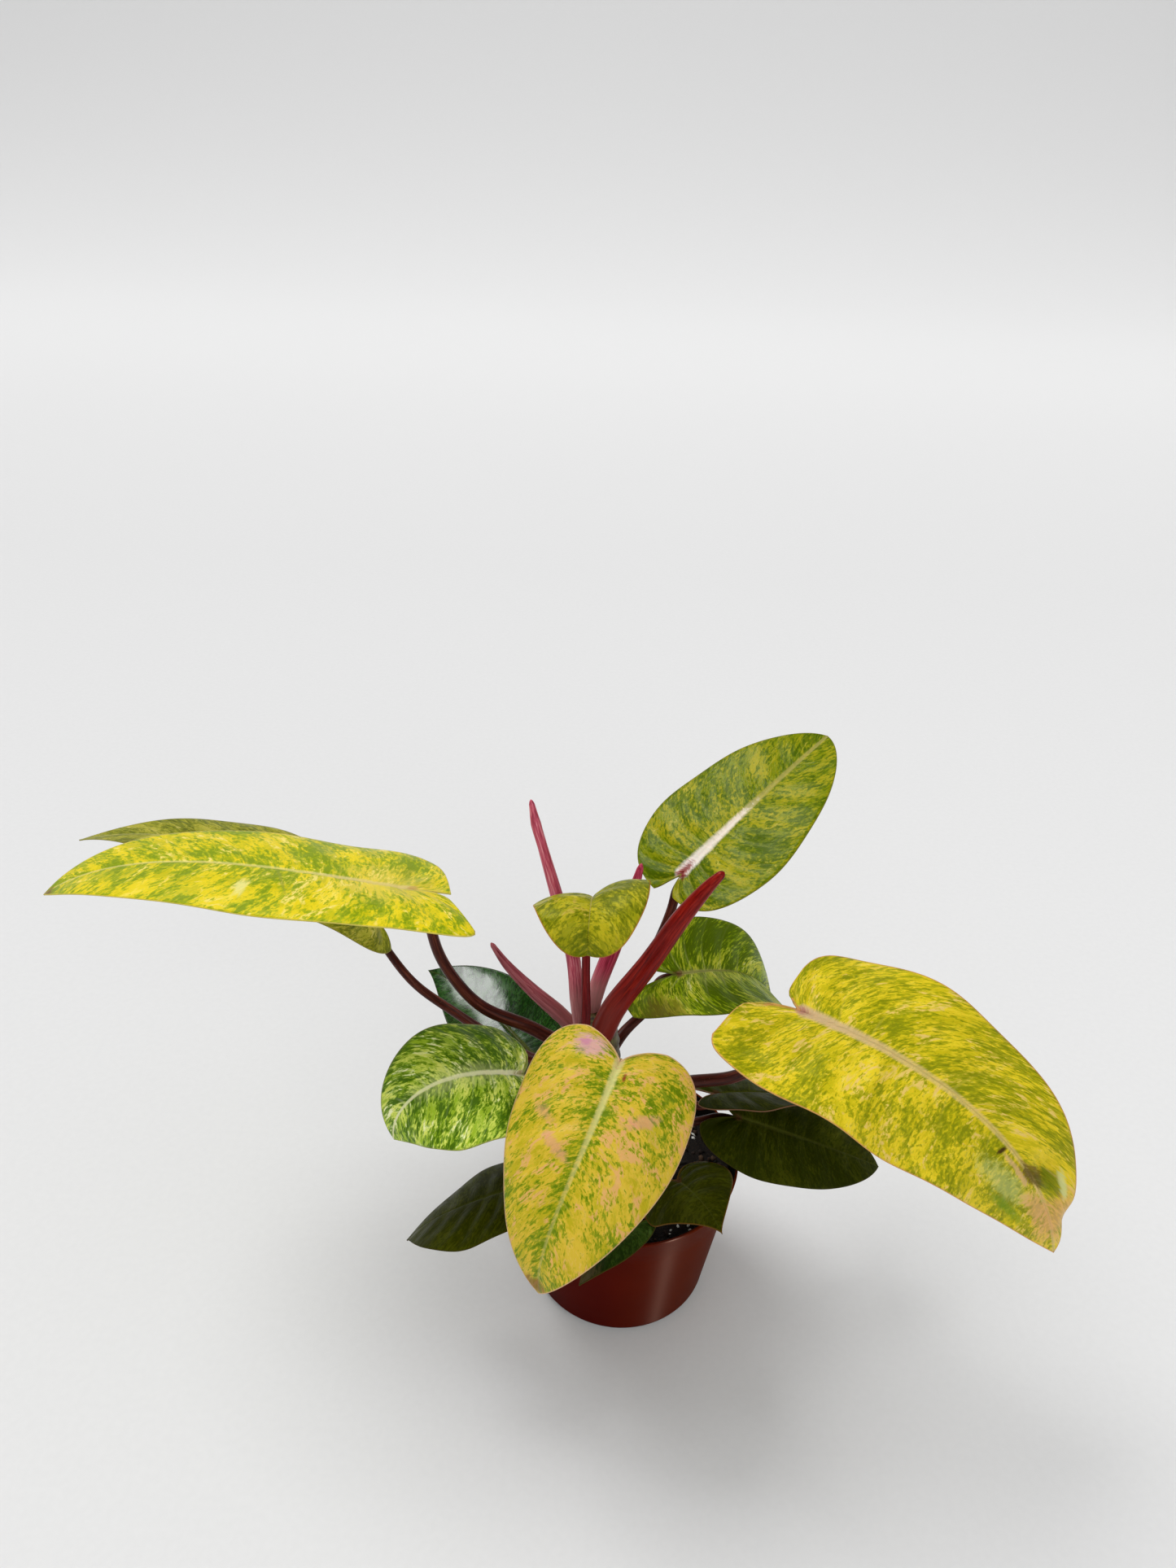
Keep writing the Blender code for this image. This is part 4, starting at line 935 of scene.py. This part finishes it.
make_leaf(FRONT, Skin(
    tones=("#5e7804", "#7e8f0c", "#b7a71d", "#d4b537", "#debb5a"), blush="#dca76a", cover=0.545,
    blush_cover=0.52, rib=("#d0cc84", "#ccc070", 0.45), join="#c8b078", margin="#dcb08c", under="#a89458",
    streak=(4.8, 2.6), rib_green=0.075, slants=(0.1, 0.45), softness=0.032, rib_width=1.2,
    marks=((15.4, -2, 9, 5, 0, "#d4a0a8", 0.8), (18, -3, 2.6, 1.8, 0, "#c880a0", 0.7),
           (-5, 6.6, 0.9, 1.6, 0, "#8c2c20", 0.9), (12, 46, 9, 2.6, 25, "#d8987c", 0.6),
           (-19, 22, 9, 3.2, -30, "#d4947c", 0.6), (24, 34, 6, 3, 20, "#d89c74", 0.5),
           (2.5, 113, 7, 5, 0, "#7c5420", 0.8))), 3)


# The marbled leaves, far left, top right, small centre, right back and left: green broken by lime and cream
# streaks along the side veins, with a pale midrib that is widest at the petiole.
FAR_LEFT = Leaf(
    "far_left", base=(-0.146, 0.06, 0.2), size=(0.178, 0.062), aim=(176, 42, 2), bend=(62, 1, -4, 0),
    section=(10, 25), outline=(0.09, 0, 0.25, 0.15), wave=(0.0015, 2.5, 60), stem_height=0.143,
    route=((-0.058, 0.018, 0.141), (-0.102, 0.045, 0.148), (-0.124, 0.056, 0.156), (-0.137, 0.06, 0.172)),
    radii=(0.0038, 0.0022))
TOP_RIGHT = Leaf(
    "top_right", base=(0.02, 0.034, 0.257), size=(0.113, 0.081), aim=(36, 32, 3), bend=(15, 1.6, 8, 0),
    section=(9, 15), outline=(0.12, 0, 0.25, 0.48), wave=(0.001, 2, 0), stem_height=0.178, tip=0.95,
    route=((-0.0035, 0.012, 0.196), (0.0098, 0.021, 0.222), (0.0168, 0.028, 0.242)), radii=(0.0032, 0.0024),
    lobes=(0.16, -0.08, 29))
CENTRE_SMALL = Leaf(
    "centre_small", base=(-0.025, -0.009, 0.271), size=(0.046, 0.058), aim=(-95, 45, 20),
    bend=(172, 1.3, 5, -23), section=(26, 46), outline=(0.09, 0, 0.2, 0.56), wave=(0.0008, 2, 0),
    stem_height=0.168,
    route=((-0.0255, -0.012, 0.188), (-0.026, -0.011, 0.204), (-0.027, -0.008, 0.225),
           (-0.027, -0.004, 0.25)), radii=(0.003, 0.0018))
RIGHT_BACK = Leaf(
    "right_back", base=(0.022, 0.024, 0.199), size=(0.102, 0.06), aim=(28, -11, 31),
    bend=(76, 1.6, 11, -13), section=(17, -2), outline=(0.265, 0.5, 0.23, 0.22), wave=(0.0012, 2, 120),
    stem_height=0.158, route=((-0.004, 0.014, 0.167), (0.009, 0.02, 0.18)), radii=(0.0034, 0.0022),
    lobes=(0.16, 0, 22))
LEFT = Leaf(
    "left", base=(-0.056, -0.044, 0.189), size=(0.085, 0.08), aim=(191, 13, 8), bend=(110, 1.6, 6, -38),
    section=(-1, 11), outline=(0.09, -0.2, 0.2, 0.54), wave=(0.0015, 2, 0), stem_height=0.134,
    route=((-0.03, -0.011, 0.148), (-0.047, -0.028, 0.169)), radii=(0.0036, 0.0022))

make_leaf(FAR_LEFT, Skin(
    tones=("#5c640a", "#767c10", "#969622", "#b2aa3c", "#c8bc64"), blush="#ccc078", cover=0.48,
    blush_cover=0.6, rib=("#b8b070", "#a8a45c", 0.8), join="#6c4030", margin="#9c9444", under="#6c7440",
    streak=(6, 2.2)), 4)
make_leaf(TOP_RIGHT, Skin(
    tones=("#485e02", "#5e7004", "#7a8408", "#a29a14", "#b8ac34"), blush="#b8ac44", cover=0.485,
    blush_cover=0.6, rib=("#fff4ee", "#b0a458", 0.75), join="#9a5048", margin="#7c7c24", under="#6c7440",
    streak=(5.2, 3), slants=(0.25, 0.1), roughness=0.26, gloss=0.13, glint=(1, 1, 0.7, 1), rib_width=2.2,
    relief=0.6,
    marks=((2, -0.7, 3.6, 1.1, 35, "#641a1a", 0.9), (2, -0.7, 3.4, 1.1, -40, "#641a1a", 0.9),
           (0, 3, 3, 6.5, 0, "#8e3834", 0.9), (0, 36, 2, 16, 0, "#f6e8dc", 0.7))), 5)
make_leaf(CENTRE_SMALL, Skin(
    tones=("#5e6802", "#797d0a", "#95930f", "#b6aa1d", "#c8bc3e"), blush="#bca442", cover=0.49,
    blush_cover=0.58, rib=("#a89850", "#a09838", 0.6), join="#8c5030", margin="#c0803c", under="#7c7838",
    streak=(5, 2)), 6, young_petiole_skin)
make_leaf(RIGHT_BACK, Skin(
    tones=("#566c02", "#728e05", "#98ae0a", "#cccc3c", "#ecea98"), blush="#e8e4a0", cover=0.465,
    blush_cover=0.62, rib=("#b4b068", "#8c9030", 0.3), join="#6c3828", margin="#6c7424", under="#585c2c",
    streak=(7.5, 1.9), slants=(0.5, 0.8), softness=0.022, rib_width=0.8, gloss=0.1, glint=(0.8, 1, 0.5, 1),
    # The brown-olive mark on the right lobe is painted shade, where the leaves above shade it.
    marks=((4, 22, 6, 20, 0, "#c4c470", 0.25), (22, -20, 14, 14, 0, "#6c5a20", 0.7))), 7)
make_leaf(LEFT, Skin(
    tones=("#426606", "#688c0c", "#98b62a", "#d6e064", "#fcfcd0"), blush="#f8f8c8", cover=0.48,
    blush_cover=0.56, rib=("#ece8c8", "#e4e4b0", 0.95), join="#8c7850", margin="#98a050", under="#707c44",
    streak=(6.5, 2.5), slants=(0.1, 0.4), softness=0.028, patchy=0.5, glint=(1, 1, 0.6, 1), rib_width=1.6,
    gloss=0.12, marks=((0, 30, 8, 30, 0, "#e0e498", 0.3),)), 8)


# The lower leaves: older and in the shade of the others, dark olive green with faint flecks and side veins.
# Their tones are partly their own olive and partly painted shade, darker for the leaves above them.
# The back left one has the glossiest skin on the plant.
BACK_LEFT = Leaf(
    "back_left", base=(-0.054, 0.038, 0.121), size=(0.098, 0.057), aim=(134, 15, -15),
    bend=(30, 1.6, 7, -18), section=(3, 29), outline=(0.18, 0, 0.3, 0.17), wave=(0.001, 2, 30),
    stem_height=0.102, route=((-0.024, 0.014, 0.108), (-0.042, 0.028, 0.114)), radii=(0.003, 0.002),
    relief=0.1)
LOW_LEFT = Leaf(
    "low_left", base=(-0.051, -0.067, 0.138), size=(0.09, 0.058), aim=(174, -32, 5), bend=(29, 1.6, -11, 1),
    section=(3, 20), outline=(0.17, 0, 0.29, 0.19), wave=(0.001, 2, 60), stem_height=0.11,
    route=((-0.022, -0.024, 0.118), (-0.038, -0.048, 0.13)), radii=(0.003, 0.002))
LOW_RIGHT = Leaf(
    "low_right", base=(0.06, 0.002, 0.118), size=(0.104, 0.058), aim=(3, -23, 25), bend=(16, 1.6, 16, 5),
    section=(7, 42), outline=(0.18, 0.15, 0.22, 0.55), wave=(0.0012, 2, 90), stem_height=0.098,
    route=((0.014, 0.002, 0.106), (0.04, 0.002, 0.114)), radii=(0.0032, 0.002), lobes=(0.4, 0, -15))
RIGHT_UNDER = Leaf(
    "right_under", base=(0.046, 0.002, 0.135), size=(0.076, 0.04), aim=(16, -8, -14),
    bend=(36, 1.6, -5, -10), section=(8, 17), outline=(0.17, 0, 0.22, 0.13), wave=(0.001, 2, 0),
    stem_height=0.118, route=((0.008, 0, 0.124), (0.03, 0.001, 0.13)), radii=(0.0032, 0.002))
RIM_RIGHT = Leaf(
    "rim_right", base=(0.025, -0.044, 0.119), size=(0.043, 0.053), aim=(-61, 25, 15), bend=(50, 1.6, 1, -9),
    section=(1, 34), outline=(0.18, 0, 0.18, 0.05), wave=(0.0006, 2, 0), stem_height=0.09,
    route=((0.004, -0.014, 0.1), (0.016, -0.032, 0.11)), radii=(0.0024, 0.0016))
RIM_FRONT = Leaf(
    "rim_front", base=(0.004, -0.062, 0.105), size=(0.041, 0.028), aim=(-139, -15, 20),
    bend=(30, 1.6, -1, 8), section=(8, 21), outline=(0.19, 0, 0.21, 0.3), wave=(0.0002, 2, 0),
    stem_height=0.084, route=((-0.004, -0.018, 0.092), (0.004, -0.042, 0.098)), radii=(0.0022, 0.0014))

# Painted shade: these tones are the leaves' own olive, darkened for the shade under the upper leaves.
OLIVE_AND_PAINTED_SHADE = Skin(
    tones=("#222801", "#292f02", "#313603", "#3b4006", "#4c5010"), blush="#545822", cover=0.47,
    blush_cover=0.66, rib=("#484c18", "#3a3e10", 0.7), join="#4a2c1c", margin="#3a380e", under="#343a1c",
    roughness=0.36, gloss=0.04, relief=0.6)
make_leaf(BACK_LEFT, OLIVE_AND_PAINTED_SHADE._replace(
    tones=("#142c0a", "#1c3a10", "#264a18", "#355c24", "#4c6e34"), roughness=0.2, gloss=1,
    glint=(1, 1, 1, 1), relief=0.12), 9)
make_leaf(LOW_LEFT, OLIVE_AND_PAINTED_SHADE._replace(
    tones=("#282c00", "#303401", "#383c01", "#424606", "#505412"), gloss=0.02), 10)
make_leaf(LOW_RIGHT, OLIVE_AND_PAINTED_SHADE, 11)
make_leaf(RIGHT_UNDER, OLIVE_AND_PAINTED_SHADE._replace(margin="#8a6450"), 12)
make_leaf(RIM_RIGHT, OLIVE_AND_PAINTED_SHADE._replace(
    tones=("#282c02", "#303403", "#383c04", "#424608", "#525610"), margin="#6c4a20"), 13)
make_leaf(RIM_FRONT, OLIVE_AND_PAINTED_SHADE._replace(
    tones=("#1a2c06", "#22360a", "#2c4210", "#3a501a", "#4e6630"),
    marks=((0, 40, 18, 13, 0, "#5c4a2c", 0.7),)), 14)


# The studio: a sweep of pale paper in even white air, a soft sun from above, behind and to the left, a broad
# softbox in front, one turned to the paper behind, and a low narrow lamp whose light falls on the pot alone.
FLOOR_HALF_WIDTH = 9.0
FLOOR_FRONT = -7.0
SWEEP_START = 3.5
SWEEP_RADIUS = 3.0
SWEEP_STEPS = 30
WALL_TOP = 6.0

# Matt paper with a tooth of 4 mm, drawn coarser than the real one so that it shows.
paper, shader, add = new_material("pale_paper", Roughness=0.9, Specular_IOR_Level=0.1)
tooth = add("TexNoise", {"Vector": add("NewGeometry"), "Scale": 1 / (4 * MM), "Detail": 2.0})
set_inputs(shader, {"Base Color": add("ValToRGB", (tooth,), stops=((0.3, "#e1e1e1"), (0.7, "#e3e3e3")))})
curve = arc((SWEEP_START, SWEEP_RADIUS), SWEEP_RADIUS, -90, 0, SWEEP_STEPS)
profile = [(FLOOR_FRONT, 0.0), *curve, (SWEEP_START + SWEEP_RADIUS, WALL_TOP)]
sweep_points = [(x, y, z) for y, z in profile for x in (-FLOOR_HALF_WIDTH, FLOOR_HALF_WIDTH)]
sweep_faces = [(2 * i, 2 * i + 1, 2 * i + 3, 2 * i + 2) for i in range(len(profile) - 1)]
sweep = new_body("paper_sweep", sweep_points, sweep_faces, paper)

# The air lights the plant evenly but is not mirrored, so that the waxy blades keep their deep greens.
world = bpy.data.worlds.new("studio_air")
bpy.context.scene.world = world
world.use_nodes = True
set_inputs(world.node_tree.nodes["Background"], {"Color": linear("#ffffff"), "Strength": 0.56})
world.cycles_visibility.glossy = False

# Each lamp: its name and kind, its place, what it is turned to, and its settings. A sun's place is no more
# than its direction.
LAMPS = (
    ("daylight", "SUN", (-0.45, 0.25, 0.86), (0, 0, 0), {"energy": 1.6, "angle": radians(32)}),
    ("front", "AREA", (0.9, -3.2, 2.2), (0, 0, 0.15),
     {"shape": "RECTANGLE", "size": 2.4, "size_y": 2.4, "energy": 32}),
    ("tall_right", "AREA", (0.78, -0.91, 0.16), (0, 0, 0.05),
     {"shape": "RECTANGLE", "size": 0.04, "size_y": 0.3, "energy": 120}),
    ("backdrop", "AREA", (0, 2.6, 3.2), (0, 6.6, 1.4),
     {"shape": "RECTANGLE", "size": 8, "size_y": 1, "energy": 45}),
)
for name, kind, spot, target, settings in LAMPS:
    lamp = bpy.data.lights.new(name, kind)
    for key, value in settings.items():
        setattr(lamp, key, value)
    source = bpy.data.objects.new(name, lamp)
    source.location = spot
    source.rotation_euler = (Vector(target) - Vector(spot)).to_track_quat("-Z", "Y").to_euler()
    source.visible_camera = False
    if name == "tall_right":
        pot_only = bpy.data.collections.new("pot_only")
        pot_only.objects.link(pot_shell)
        source.visible_diffuse = False
        source.light_linking.receiver_collection = pot_only
    bpy.context.scene.collection.objects.link(source)

# The camera looks down on the plant from the front, through a wide lens and with a slight lean.
CAMERA_PLACE = (-0.030, -0.464, 0.604)
CAMERA_DOWN, CAMERA_LEAN = 30.7, 2.5      # degrees
LENS_LENGTH, FRAME_WIDTH = 27.0, 36.0     # millimetres

lens = bpy.data.cameras.new("camera")
lens.lens = LENS_LENGTH
lens.sensor_width = FRAME_WIDTH
lens.sensor_fit = "AUTO"
lens.clip_start, lens.clip_end = 0.01, 50.0
camera = bpy.data.objects.new("camera", lens)
camera.rotation_mode = "ZYX"
camera.location = CAMERA_PLACE
camera.rotation_euler = (radians(90 - CAMERA_DOWN), 0.0, radians(CAMERA_LEAN))
bpy.context.scene.collection.objects.link(camera)
bpy.context.scene.camera = camera
bpy.context.scene.view_settings.view_transform = "Standard"
